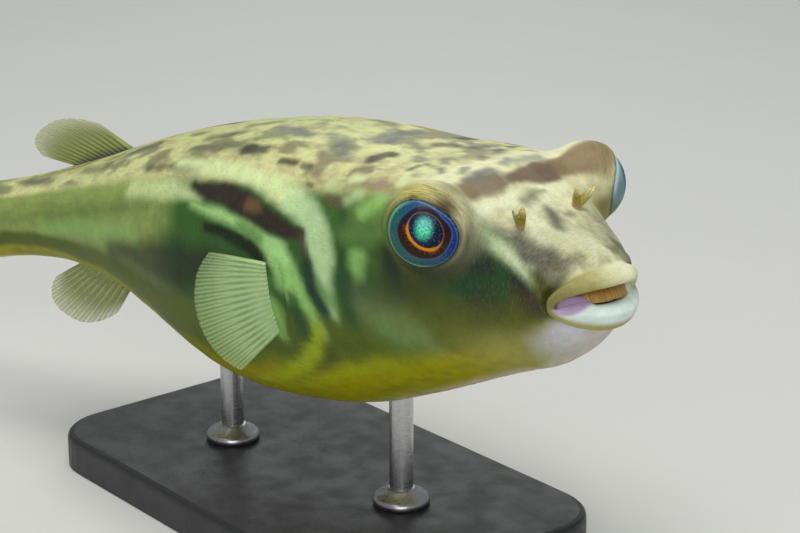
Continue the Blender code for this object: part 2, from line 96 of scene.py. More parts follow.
# Beak: the middle of its arc, the arc's reach forward and to each side, how far round it goes,
# and where it bites.
BEAK_CENTRE_X = -8.2
BEAK_DEPTH = 3.8
BEAK_HALF_WIDTH = 5.4
BEAK_ARC = radians(82)
BEAK_BITE = -2.0
STANDARD_LENGTH = 200.0
TAIL_CAP_REACH = 3.4
# The skin's columns round the body, and the fine steps along and round it that are searched.
SKIN_COLUMNS = 262
FINE_RUNS = 4000
FINE_TURNS = 3601

# The spine: (mm behind the mouth, degrees). Yaw swings the body to the right going back,
# pitch lowers it going back.
SPINE_YAW = ((0, 0), (45, 0), (70, 3), (100, 9), (130, 15), (160, 19), (200, 21), (260, 21))
SPINE_PITCH = ((0, 0), (15, 1), (30, 5), (45, 9), (80, 9), (115, 5), (145, 6), (175, 11),
               (200, 14), (260, 15))
SPINE_ENDS = (-5, 260)
SPINE_STEPS = 1061

# Eyes: mirrored about the middle, the left one then shifted a little out and up.
EYE_CENTRE = (-31.5, 20.3, 9.1)
LEFT_EYE_SHIFT = (0.0, 0.8, 0.85)
EYE_AXIS = (0.60, 0.79, 0.05)
EYE_BALL_RADIUS = 8.1
# The opening's edge is so many degrees from the eye's axis. The brow covers the top front of
# the ball: how many degrees, about which turn, and over what spread.
EYE_OPENING = 58.5
EYE_COVER = 14
EYE_COVER_TURN = 64
EYE_COVER_SPREAD = 52
# How far the gaze leaves each eye's axis, forward and up; the left eye looks further back.
EYE_GAZE = {-1: (0.129, 0.136), 1: (-0.40, 0.02)}
BROW_RADIUS = 8.7
BROW_INSET = 4.0
BROW_BLEND = 3.0
# The skin at the opening's edge stands a gap off the ball, and more where the brow covers it;
# inside the opening it lies under the ball.
EYE_RIM_GAP = 0.12
EYE_BROW_GAP = 0.3
EYE_SEAT_DEPTH = 0.9
# The ball's mesh: how far round from its axis it goes, and its rings and columns.
EYE_BALL_REACH = radians(100)
EYE_RINGS = 131
EYE_COLUMNS = 208

# Dorsal and anal fin: piece, node, first and last station of the root, angle round the body,
# height, degrees that the first and the last ray lean back, and number of rays.
MEDIAN_FINS = (
    ("fin_dorsal", "dorsal_fin", (143.0, 160.0), 0.0, 19.0, (58, 78), 13),
    ("fin_anal", "anal_fin", (147.0, 162.0), pi, 21.0, (40, 66), 11),
)
# Caudal fin: its rays fan out by so many degrees up and down.
CAUDAL_LENGTH = 46.0
CAUDAL_SPREAD = 17
CAUDAL_RAYS = 11
# Pectoral fins: the root's angles round the body, its rays' degrees up at the first and the
# last, their lengths at the edges and in the middle, and how far the fin stands off the flank.
PECTORAL_STATION = 72.0
PECTORAL_ROOT = (radians(84), radians(111))
PECTORAL_SPREAD = (14.0, -38.0)
PECTORAL_LENGTHS = (11.5, 16.5)
PECTORAL_FLARE = radians(25)
PECTORAL_RAYS = 17

# Nostril tentacles: mm behind the mouth and mm out from the midline, right and left.
NOSTRIL_SPOTS = {-1: (18.6, 8.4), 1: (19.2, 6.6)}
# How deep they sink, how far each of their two lobes bows outwards and how high it is, in mm,
# and a lobe's columns and rows.
NOSTRIL_SINK = 0.4
NOSTRIL_LOBES = {-1: ((-1.6, 5.4), (1.2, 4.5)), 1: ((-2.0, 4.6), (3.0, 5.2))}
NOSTRIL_COLUMNS = 20
NOSTRIL_ROWS = 26

# A rod collar: its columns, and its profile in mm out from the rod's side and up from the base.
COLLAR_COLUMNS = 64
COLLAR_PROFILE = ((3.2, 0.1), (3.6, 0.5), (3.6, 1.4), (3.0, 2.0), (1.2, 2.5), (0.8, 3.4), (0.1, 3.8))

# Floor, in metres: half its width, how far out it is flat, and how far it lies under the stand.
FLOOR_REACH = 4
FLOOR_FLAT = 3
FLOOR_DROP = 0.0002
FLOOR_STEPS = 33

# Camera: turned round the fish, raised above the floor, its angle of view across, and its
# distance in mm from the spot between the eyes.
CAMERA_AZIMUTH = radians(50)
CAMERA_ELEVATION = radians(18)
CAMERA_VIEW = radians(22)
CAMERA_DISTANCE = 399.6
SENSOR_WIDTH = 36.0
BETWEEN_EYES = (-31.5, 0.0, 9.4)
BETWEEN_EYES_OFFSET = (20.97, 11.94)

SIDES = (("right", -1), ("left", 1))


# ---------------------------------------------------------------- curves and the straight fish

def fade(value, start, end):
    """0 before start, 1 after end, with a smooth cubic between; start may be above end."""
    t = np.clip((value - start) / (end - start), 0, 1)
    return t * t * (3 - 2 * t)


def hill(value, centre, spread):
    """A bell that is 1 at centre and falls off over spread."""
    return np.exp(-((value - centre) / spread) ** 2)


def smooth_curve(xs, ys, x):
    """Cubic through the knots (xs, ys) with slopes from their neighbours, read at x."""
    xs = np.asarray(xs, float)
    ys = np.asarray(ys, float)
    slopes = np.gradient(ys, xs)
    i = np.clip(np.searchsorted(xs, x) - 1, 0, len(xs) - 2)
    step = np.diff(xs)[i]
    t = np.clip((x - xs[i]) / step, 0, 1)
    value = (2 * t**3 - 3 * t**2 + 1) * ys[i] + (3 * t**2 - 2 * t**3) * ys[i + 1]
    return value + step * ((t**3 - 2 * t**2 + t) * slopes[i] + (t**3 - t**2) * slopes[i + 1])


def ring_points(rings, around):
    """Points of rings, one row for each ring and a column for each angle around.

    Each half is a superellipse, and the ring's x runs from its side value to its top or
    bottom value with the square of the cosine.
    """
    rings = np.atleast_2d(np.asarray(rings, float))[:, None, :]
    x_top, x_bottom, x_side, half, middle, rise, drop, square_top, square_bottom = (
        rings[..., k] for k in range(9))
    c = np.cos(around)
    s = np.sin(around)
    upper = c >= 0
    power = np.where(upper, square_top, square_bottom)
    size = (np.abs(s) ** power + np.abs(c) ** power) ** (1 / power)
    x = x_side + (np.where(upper, x_top, x_bottom) - x_side) * c**2
    z = middle + np.where(upper, rise, drop) * c / size
    return np.stack([x, -half * s / size, z], -1)


def run_lengths(rings):
    """Distance along the body to each ring, by its top line or its change of width."""
    crown = np.stack([rings[:, 0], rings[:, 4] + rings[:, 5]], 1)
    steps = np.linalg.norm(np.diff(crown, axis=0), axis=1)
    return np.r_[0.0, np.cumsum(np.maximum(steps, np.abs(np.diff(rings[:, 3]))))]


OUTER_RINGS = np.array([(-s, -s, -s, *rest) for s, *rest in BODY_SECTIONS]
                       + list(SNOUT_RINGS) + [LIP_RINGS[0]], float)
OUTER_RUNS = run_lengths(OUTER_RINGS)


def rings_at(rings, runs, at):
    """Rings interpolated at the distances at."""
    return np.stack([smooth_curve(runs, rings[:, k], at) for k in range(rings.shape[1])], 1)


def run_of_station(stations):
    """Distance along the outer rings at which the body's side passes a station."""
    fine = np.linspace(0, OUTER_RUNS[-1], FINE_RUNS)
    sides = smooth_curve(OUTER_RUNS, OUTER_RINGS[:, 2], fine)
    return np.interp(-np.asarray(stations, float), sides, fine)


def station_rings(stations):
    """The outer rings at given stations."""
    return rings_at(OUTER_RINGS, OUTER_RUNS, run_of_station(np.atleast_1d(stations)))


def bend_body(points):
    """Curves the straight fish along its spine.

    The spine runs back from the mouth with the yaw and pitch of the tables; each point
    keeps its offsets to the left and up from the spine at its own station.
    """
    points = np.asarray(points, float)
    stations = np.linspace(*SPINE_ENDS, SPINE_STEPS)
    along = np.maximum(stations, 0)
    yaw = np.radians(smooth_curve(*zip(*SPINE_YAW), along))
    pitch = np.radians(smooth_curve(*zip(*SPINE_PITCH), along))
    forward = np.stack([np.cos(pitch) * np.cos(yaw), np.cos(pitch) * np.sin(yaw), np.sin(pitch)], 1)
    left = np.stack([-np.sin(yaw), np.cos(yaw), 0 * yaw], 1)
    up = np.cross(forward, left)
    spine = -np.cumsum(forward, axis=0) * (stations[1] - stations[0])
    spine -= spine[np.argmin(np.abs(stations))]

    def read(table):
        return np.stack([np.interp(-points[..., 0], stations, table[:, k]) for k in range(3)], -1)

    return read(spine) + read(left) * points[..., 1:2] + read(up) * points[..., 2:3]


def smooth_max(a, b, blend):
    """The greater of a and b, rounded off where they are within blend of each other."""
    h = np.clip(0.5 + 0.5 * (a - b) / blend, 0, 1)
    return b + (a - b) * h + blend * h * (1 - h)


def unit(vectors):
    """The vectors at length 1."""
    vectors = np.asarray(vectors, float)
    return vectors / np.maximum(np.linalg.norm(vectors, axis=-1, keepdims=True), 1e-12)


def eye_frame(side):
    """Centre and outward axis of an eye; side is 1 for the left and -1 for the right."""
    mirror = np.array([1.0, side, 1.0])
    shift = np.array(LEFT_EYE_SHIFT) * (side > 0)
    return np.array(EYE_CENTRE) * mirror + shift, unit(np.array(EYE_AXIS) * mirror)


def raise_brows(points):
    """Pushes the skin out into a round brow over each eye.

    A point moves along the ray from a spot inset behind the eye's centre, to where the
    ray leaves the brow's sphere, blended with where the point already was.
    """
    for _, side in SIDES:
        centre, axis = eye_frame(side)
        inset = -axis * BROW_INSET
        offset = points - (centre + inset)
        distance = np.linalg.norm(offset, axis=-1)
        ray = unit(offset)
        lean = ray @ inset
        reach = -lean + np.sqrt(lean**2 - BROW_INSET**2 + BROW_RADIUS**2)
        points = points + (smooth_max(distance, reach, BROW_BLEND) - distance)[..., None] * ray
    return points


def eye_basis(side):
    """An eye's centre, outward axis, and forward and upward directions square to it."""
    centre, axis = eye_frame(side)
    forward = unit(np.array([1.0, 0.0, 0.0]) - axis[0] * axis)
    return centre, axis, forward, np.cross(forward, axis) * side


def turn_from(turn, start):
    """Degrees from start round to turn, -180 to 180."""
    return (turn - start + 180) % 360 - 180


def about_eye(points, side):
    """Distance in mm from an eye's centre, degrees past its opening's edge, and turn round it.

    The turn is 0 degrees at the front and 90 at the top. The opening is smaller where the
    brow covers the ball, by a bell of the turn.
    """
    centre, axis, forward, up = eye_basis(side)
    offset = points - centre
    distance = np.linalg.norm(offset, axis=-1)
    angle = np.degrees(np.arccos(np.clip(offset @ axis / np.maximum(distance, 1e-9), -1, 1)))
    turn = np.degrees(np.arctan2(offset @ up, offset @ forward))
    cover = EYE_COVER * hill(turn_from(turn, EYE_COVER_TURN), 0, EYE_COVER_SPREAD)
    return distance, angle - EYE_OPENING + cover, turn


def sink_under_eyes(points):
    """Brings the skin down to the edge of each eye's opening, and under the ball inside it.

    The edge is a thin rim below and behind, and a thick round fold where the brow covers
    the ball.
    """
    for _, side in SIDES:
        centre, _ = eye_frame(side)
        distance, past, turn = about_eye(points, side)
        near = fade(distance, BROW_RADIUS + 2.5, BROW_RADIUS + 0.8)
        covered = fade(np.cos(np.radians(turn - EYE_COVER_TURN)), 0.0, 0.8)
        edge = EYE_BALL_RADIUS + EYE_RIM_GAP + EYE_BROW_GAP * covered
        target = distance + (edge - distance) * near * fade(past, 15 - 7 * covered, 1.5)
        seat = EYE_BALL_RADIUS - EYE_SEAT_DEPTH
        target = target + (seat - target) * near * fade(past, 1.6, -1.6)
        points = centre + (points - centre) * (target / np.maximum(distance, 1e-9))[..., None]
    return points


def body_spots(stations, around, lift):
    """Points of the finished trunk or tail, lift mm off the skin, at angles around."""
    stations, around = np.broadcast_arrays(np.asarray(stations, float), np.asarray(around, float))
    rings = station_rings(stations)
    flat = ring_points(rings, around[:, None])[:, 0]
    outward = np.stack([0 * around, flat[:, 1], flat[:, 2] - rings[:, 4]], 1)
    return bend_body(flat + unit(outward) * lift)


def local_axes(station):
    """Forward, left and up of the body at a station."""
    spots = bend_body(np.concatenate([np.zeros((1, 3)), np.eye(3)]) - (station, 0, 0))
    return spots[1:] - spots[0]


def find_placement():
    """The shift in metres from the described fish to the frame, from the upper lip's box."""
    corner = pi / 2 - LIP_CORNER
    lip = bend_body(ring_points(LIP_RINGS, np.linspace(-corner, corner, 23))).reshape(-1, 3) * MM
    low, high = (np.array(end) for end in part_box("upper_lip"))
    return (low + high) / 2 - (lip.min(axis=0) + lip.max(axis=0)) / 2


PLACEMENT = find_placement()


# ---------------------------------------------------------------- noise and colour

def value_noise(points, seed):
    """Smooth noise from 0 to 1: random corners of a unit lattice, blended by smooth cubics.

    A corner's value is the fraction of a large multiple of the sine of its position.
    """
    cell = np.floor(points)
    part = points - cell
    part = part * part * (3 - 2 * part)
    total = 0.0
    for corner in np.ndindex(2, 2, 2):
        hashed = np.sin((cell + corner) @ (12.9898, 78.233, 37.719) + seed) * 43758.5453
        weight = np.prod(np.where(corner, part, 1 - part), axis=-1)
        total = total + weight * (hashed - np.floor(hashed))
    return total


def rough_noise(points, size, seed):
    """Three layers of noise, each half the size and about half the strength of the last."""
    points = np.asarray(points, float) / np.asarray(size, float)
    layers = ((1.0, 0.55), (2.03, 0.29), (4.1, 0.16))
    return sum(share * value_noise(points * k + seed, seed + k) for k, share in layers)


def paint(red, green, blue):
    """A linear colour from the 0 to 255 values of a paint chip on a screen."""
    chip = np.array([red, green, blue], float) / 255
    return np.where(chip <= 0.04045, chip / 12.92, ((chip + 0.055) / 1.055) ** 2.4)


def lay(tint, *coats):
    """Lays coats of (colour, share from 0 to 1) over a tint, in order."""
    for colour, share in coats:
        tint = tint + (colour - tint) * np.clip(share, 0, 1)[..., None]
    return tint


# ---------------------------------------------------------------- meshes

def in_frame(points):
    """Points in metres of the frame, from points in mm of the described fish."""
    return np.asarray(points, float).reshape(-1, 3) * MM + PLACEMENT


def link_object(name, data):
    """A new object of the scene that shows data."""
    made = bpy.data.objects.new(name, data)
    bpy.context.scene.collection.objects.link(made)
    return made


def smooth_object(name, points, faces, material):
    """A smoothly shaded mesh object from points in metres of the frame."""
    mesh = bpy.data.meshes.new(name)
    mesh.from_pydata(points.tolist(), [], faces)
    mesh.materials.append(material)
    mesh.polygons.foreach_set("use_smooth", np.ones(len(mesh.polygons), bool))
    return link_object(name, mesh)


def make_piece(name, slot, nodes, points, faces, material, **attributes):
    """A closed piece from points in metres of the frame, its faces turned outwards.

    It is fixed to the model, and the solids that it stands for are hidden; slot is not used.
    Each attribute has a number or a vector for every point; tint has a colour.
    """
    made = smooth_object(name, points, outward_faces(points, faces), material)
    for label, values in attributes.items():
        values = np.asarray(values, np.float32).reshape(len(points), -1)
        kind, key = {1: ("FLOAT", "value"), 3: ("FLOAT_VECTOR", "vector")}[values.shape[1]]
        if label == "tint":
            kind, key = "FLOAT_COLOR", "color"
            values = np.concatenate([values, np.ones((len(points), 1), np.float32)], 1)
        layer = made.data.attributes.new(label, kind, "POINT")
        layer.data.foreach_set(key, np.ascontiguousarray(values).ravel())
    made.data.update()
    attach(made, "root")
    if nodes:
        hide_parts(*nodes)


def outward_faces(points, faces):
    """The faces, turned round if the closed mesh that they make is inside out."""
    volume = 0.0
    for corners in faces:
        a = points[corners[:, 0]]
        for k in range(1, corners.shape[1] - 1):
            b, c = points[corners[:, k]], points[corners[:, k + 1]]
            volume += np.einsum("ij,ij->", a, np.cross(b, c))
    step = -1 if volume < 0 else 1
    return [face for corners in faces for face in corners[:, ::step].tolist()]


def grid_faces(rows, columns, wrap, first=0):
    """Quads of a grid of points, closed round its columns if wrap."""
    index = first + np.arange(rows * columns).reshape(rows, columns)
    if wrap:
        index = np.concatenate([index, index[:, :1]], 1)
    corners = [index[:-1, :-1], index[:-1, 1:], index[1:, 1:], index[1:, :-1]]
    return np.stack(corners, -1).reshape(-1, 4)


def tube(rows, start_pole=None, end_pole=None):
    """Points and faces of rings joined in a closed tube, each end a pole or a flat fan."""
    count, columns, _ = rows.shape
    start_pole = rows[0].mean(axis=0) if start_pole is None else start_pole
    end_pole = rows[-1].mean(axis=0) if end_pole is None else end_pole
    points = np.concatenate([rows.reshape(-1, 3), [start_pole], [end_pole]])
    ring = np.arange(columns)
    after = np.roll(ring, -1)
    last = (count - 1) * columns
    start = np.stack([np.full(columns, count * columns), after, ring], 1)
    end = np.stack([np.full(columns, count * columns + 1), last + ring, last + after], 1)
    return points, [grid_faces(count, columns, True), start, end]


def sheet_between(front, back):
    """Points and faces of a closed sheet from its two sides, grids of equal size."""
    rows, columns, _ = front.shape
    points = np.concatenate([front.reshape(-1, 3), back.reshape(-1, 3)])
    far = rows * columns
    index = np.arange(far).reshape(rows, columns)
    edge = np.concatenate([index[0, :-1], index[:-1, -1], index[-1, :0:-1], index[:0:-1, 0]])
    after = np.roll(edge, -1)
    rim = np.stack([edge, edge + far, after + far, after], 1)
    near_faces, far_faces = (grid_faces(rows, columns, False, first) for first in (0, far))
    return points, [near_faces, far_faces[:, ::-1], rim]


# ---------------------------------------------------------------- skin: shape

def skin_columns():
    """Angles round the body, closer together over the eyes."""
    fine = np.linspace(0, 2 * pi, FINE_TURNS)
    bend = np.degrees(np.minimum(fine, 2 * pi - fine))
    density = 1.0 + 2.4 * fade(bend, 8, 24) * fade(bend, 92, 74)
    total = np.r_[0.0, np.cumsum((density[1:] + density[:-1]) / 2)]
    return np.interp(np.arange(SKIN_COLUMNS) / SKIN_COLUMNS * total[-1], total, fine)


def skin_rings():
    """Every ring of the skin from the tail's end to the throat, and where each one is.

    That is its station, its place (0 as far as the lip's fold, 1 at the lip's inner edge
    and 2 in the throat) and its distance in mm past the fold.
    """
    knots = np.concatenate([OUTER_RINGS, LIP_RINGS[1:], MOUTH_RINGS])
    runs = run_lengths(knots)
    fold = runs[len(OUTER_RINGS) - 1]
    edge = runs[len(OUTER_RINGS) + len(LIP_RINGS) - 2]
    # Stretches with their number of rings, which lie closest from the eyes to the mouth.
    body = ((199.9, 60.0, 108), (60.0, 45.0, 22), (45.0, 17.0, 132))
    mouth = ((run_of_station(17.0), fold, 42), (fold, edge, 42))
    at = [run_of_station(np.linspace(a, b, count, endpoint=False)) for a, b, count in body]
    at += [np.linspace(a, b, count, endpoint=False) for a, b, count in mouth]
    at = np.concatenate([*at, np.linspace(edge, runs[-1], 18)])
    rings = rings_at(knots, runs, at)
    place = np.interp(at, (runs[0], fold, edge, runs[-1]), (0.0, 0.0, 1.0, 2.0))
    return rings, -rings[:, 2], place, at - fold


def tail_cap_rings(ring, count=6):
    """The tail's end rounded off behind its last ring."""
    rows = []
    for turn in np.linspace(pi / 2 * 0.94, 0.12, count):
        cap = ring.copy()
        cap[:3] -= TAIL_CAP_REACH * sin(turn)
        cap[[3, 5, 6]] *= cos(turn) ** 0.7
        rows.append(cap)
    return np.array(rows)


def grid_normals(points):
    """Unit normals of a grid closed round its columns."""
    along = np.gradient(points, axis=0)
    across = np.roll(points, -1, axis=1) - np.roll(points, 1, axis=1)
    normals = unit(np.cross(across, along))
    middle = points.mean(axis=1, keepdims=True)
    return normals * np.sign(((points - middle) * normals).sum(-1).mean())


def rounded_line(line):
    """The same line with its corners cut off twice, each at a quarter of the way along."""
    line = np.array(line, float)
    for _ in range(2 if len(line) > 2 else 0):
        a, b = line[:-1], line[1:]
        cuts = np.stack([0.75 * a + 0.25 * b, 0.25 * a + 0.75 * b], 1).reshape(-1, 2)
        line = np.concatenate([line[:1], cuts[1:-1], line[-1:]])
    return line


def line_distance(station, span, line, radius_at):
    """Distance in mm from a line on the skin, and how far along it the nearest spot is.

    The line's points are (station, degrees round from the top). Degrees become mm by the
    body's mean radius, as they have in span.
    """
    x, turn = np.array(line, float).T
    y = np.radians(turn) * radius_at(x)
    best = np.full(station.shape, np.inf)
    place = np.zeros(station.shape)
    for k, (dx, dy) in enumerate(zip(np.diff(x), np.diff(y))):
        t = np.clip(((station - x[k]) * dx + (span - y[k]) * dy) / (dx * dx + dy * dy), 0, 1)
        distance = np.hypot(station - x[k] - t * dx, span - y[k] - t * dy)
        closer = distance < best
        best = np.where(closer, distance, best)
        place = np.where(closer, (k + t) / (len(x) - 1), place)
    return best, place


# The gill opening's slit and its raised front edge, as lines on the skin.
GILL_SLIT = ((70.5, 80), (69.5, 88), (69.3, 97), (70.3, 106), (72.0, 112))
GILL_EDGE = ((68.6, 78), (67.2, 88), (67.0, 98), (68.2, 108), (70.4, 115))


class Skin:
    """The skin's grid: its shape in mm and, for each point, where it is on the fish."""

    def __init__(self):
        rings, *places = skin_rings()
        cap = tail_cap_rings(rings[0])
        rings = np.concatenate([cap, rings])
        around = skin_columns()
        self.flat = ring_points(rings, around)
        shape = self.flat.shape[:2]
        at_cap = (STANDARD_LENGTH, 0.0, -STANDARD_LENGTH)
        self.station, self.place, self.past_fold = (
            np.broadcast_to(np.r_[np.full(len(cap), start), values][:, None], shape)
            for start, values in zip(at_cap, places))
        turn = np.degrees(around)
        self.turn = np.broadcast_to(np.minimum(turn, 360 - turn), shape)
        self.is_left = np.broadcast_to(turn > 180, shape)
        radius = (rings[:, 3] + (rings[:, 5] + rings[:, 6]) / 2) / 2
        outer = self.place[:, 0] == 0
        self.radius_table = (self.station[outer, 0][::-1], radius[outer][::-1])
        self.span = np.radians(self.turn) * radius[:, None]
        raised = np.array(self.flat)
        gum = hill(self.place, 1.14, 0.22) * fade(self.turn, 94, 108) * fade(self.turn, 160, 142)
        raised[..., 2] += GUM_RISE * gum
        self.points = sink_under_eyes(self.with_folds(raise_brows(bend_body(raised))))

    def radius_at(self, stations):
        """The body's mean radius at given stations."""
        return np.interp(stations, *self.radius_table)

    def near(self, line):
        """Distance from a line on the skin and the place along it, for every point."""
        return line_distance(self.station, self.span, line, self.radius_at)

    def with_folds(self, points):
        """Sinks the folds and raises the swellings that give a live fish its skin.

        The fold behind the lips is deep at the mouth's corners and faint above and below.
        The gill opening is a slit with a raised front edge, and the pectoral fin stands on
        a low fleshy swelling.
        """
        side = fade(self.turn, 25, 62) * fade(self.turn, 140, 112)
        lift = -(0.06 + 0.9 * side) * hill(self.past_fold, 0.0, 0.75)
        lift += 0.35 * side * hill(self.past_fold, -1.9, 1.1)
        lift -= 0.35 * hill(self.turn, 92, 11) * hill(self.place, 0.45, 0.5) * (self.place > 0)
        slit, place = self.near(GILL_SLIT)
        lift -= 1.1 * hill(slit, 0, 0.9) * fade(place, 0, 0.15) * fade(place, 1, 0.85)
        edge, place = self.near(GILL_EDGE)
        lift += 0.5 * hill(edge, 0, 1.9) * fade(place, 0, 0.2) * fade(place, 1, 0.8)
        lift += 0.9 * hill(np.hypot((self.station - 76.5) / 5.5, (self.turn - 99) / 16), 0, 1)
        waves = rough_noise(self.flat, (14.0, 7.0, 7.0), 3.0) - 0.5
        lift += 0.5 * waves * fade(self.station, 10, 24) * (self.place == 0)
        return points + grid_normals(points) * lift[..., None]


# ---------------------------------------------------------------- skin: colours

# Ground colours, from the back down to the belly and from the tail to the snout.
BACK_CREAM = paint(216, 218, 154)
FLANK_GREEN = paint(56, 100, 42)
REAR_GREEN = paint(150, 170, 92)
# The lower flank's olive: partly its own colour and partly painted shade under the body.
LOWER_OLIVE_AND_SHADE = paint(84, 102, 18)
BELLY_YELLOW = paint(156, 152, 2)
BELLY_PALE = paint(204, 194, 148)
# Painted shade on the cheek round the eye.
CHEEK_PAINTED_SHADE = paint(24, 42, 34)
CHEEK_OLIVE = paint(94, 102, 28)
SNOUT_CREAM = paint(228, 227, 182)
SNOUT_CLOUD = paint(148, 150, 118)
CHIN_OLIVE = paint(156, 154, 80)
CHIN_LILAC = paint(208, 208, 226)
CHIN_PINK = paint(196, 182, 172)

# Colours of the markings, of the skin round the eyes, and of the lips and mouth.
MOTTLE = paint(88, 89, 76)
MOTTLE_DARK = paint(58, 60, 48)
MOTTLE_BLUE = paint(108, 114, 106)
PINK_BROWN = paint(160, 138, 112)
SPOT_BROWN = paint(104, 88, 66)
PALE_CREAM = paint(222, 238, 172)
PALE_GREEN = paint(152, 204, 112)
PALE_MIST = paint(196, 228, 168)
BAND_GREEN = paint(180, 230, 144)
MID_GREEN = paint(98, 142, 72)
YELLOW_OLIVE = paint(160, 178, 14)
BLOTCH_BROWN = paint(54, 46, 38)
ORANGE_BROWN = paint(136, 108, 66)
BLACK_GREEN = paint(26, 38, 16)
DARK_GREEN = paint(38, 80, 34)
DARK_TEAL = paint(26, 62, 44)
DARK_BROWN = paint(74, 62, 50)
DARK_OLIVE = paint(72, 76, 10)
BROW_PURPLE = paint(114, 96, 78)
BROW_BROWN = paint(142, 122, 88)
BRIGHT_CREAM = paint(242, 244, 206)
HATCH_GREY = paint(76, 78, 62)
# Painted shade on the cheek below the front of the right eye.
CHEEK_GREY_SHADE = paint(92, 98, 76)
# A painted highlight where light catches the cheek.
CHEEK_HIGHLIGHT = paint(124, 136, 84)
STREAK_GREEN = paint(162, 192, 138)
EYE_OLIVE = paint(202, 192, 98)
EYE_GREEN = paint(98, 138, 44)
EYE_CREAM = paint(236, 232, 182)
EYE_BROWN = paint(92, 66, 34)
EYE_SHADE = paint(48, 58, 28)
# Painted shade before the lower edge of the eye.
EYE_GREY_SHADE = paint(92, 98, 70)
LIP_CREAM = paint(242, 246, 204)
LIP_OLIVE = paint(132, 128, 74)
LIP_RIM = paint(170, 164, 98)
LIP_BLUE_WHITE = paint(224, 240, 232)
# Painted shade in the corners of the mouth and along the lip's fold.
MOUTH_FOLD_SHADE = paint(70, 58, 34)
MOUTH_LILAC = paint(186, 160, 196)
# Painted shade deep in the throat.
MOUTH_DEEP_SHADE = paint(96, 62, 60)

# The brown bar over the left brow, as a line of (station, degrees round from the top).
LEFT_BROW_BAR = ((28.6, 20), (29.2, 36), (29.9, 50), (30.4, 64))

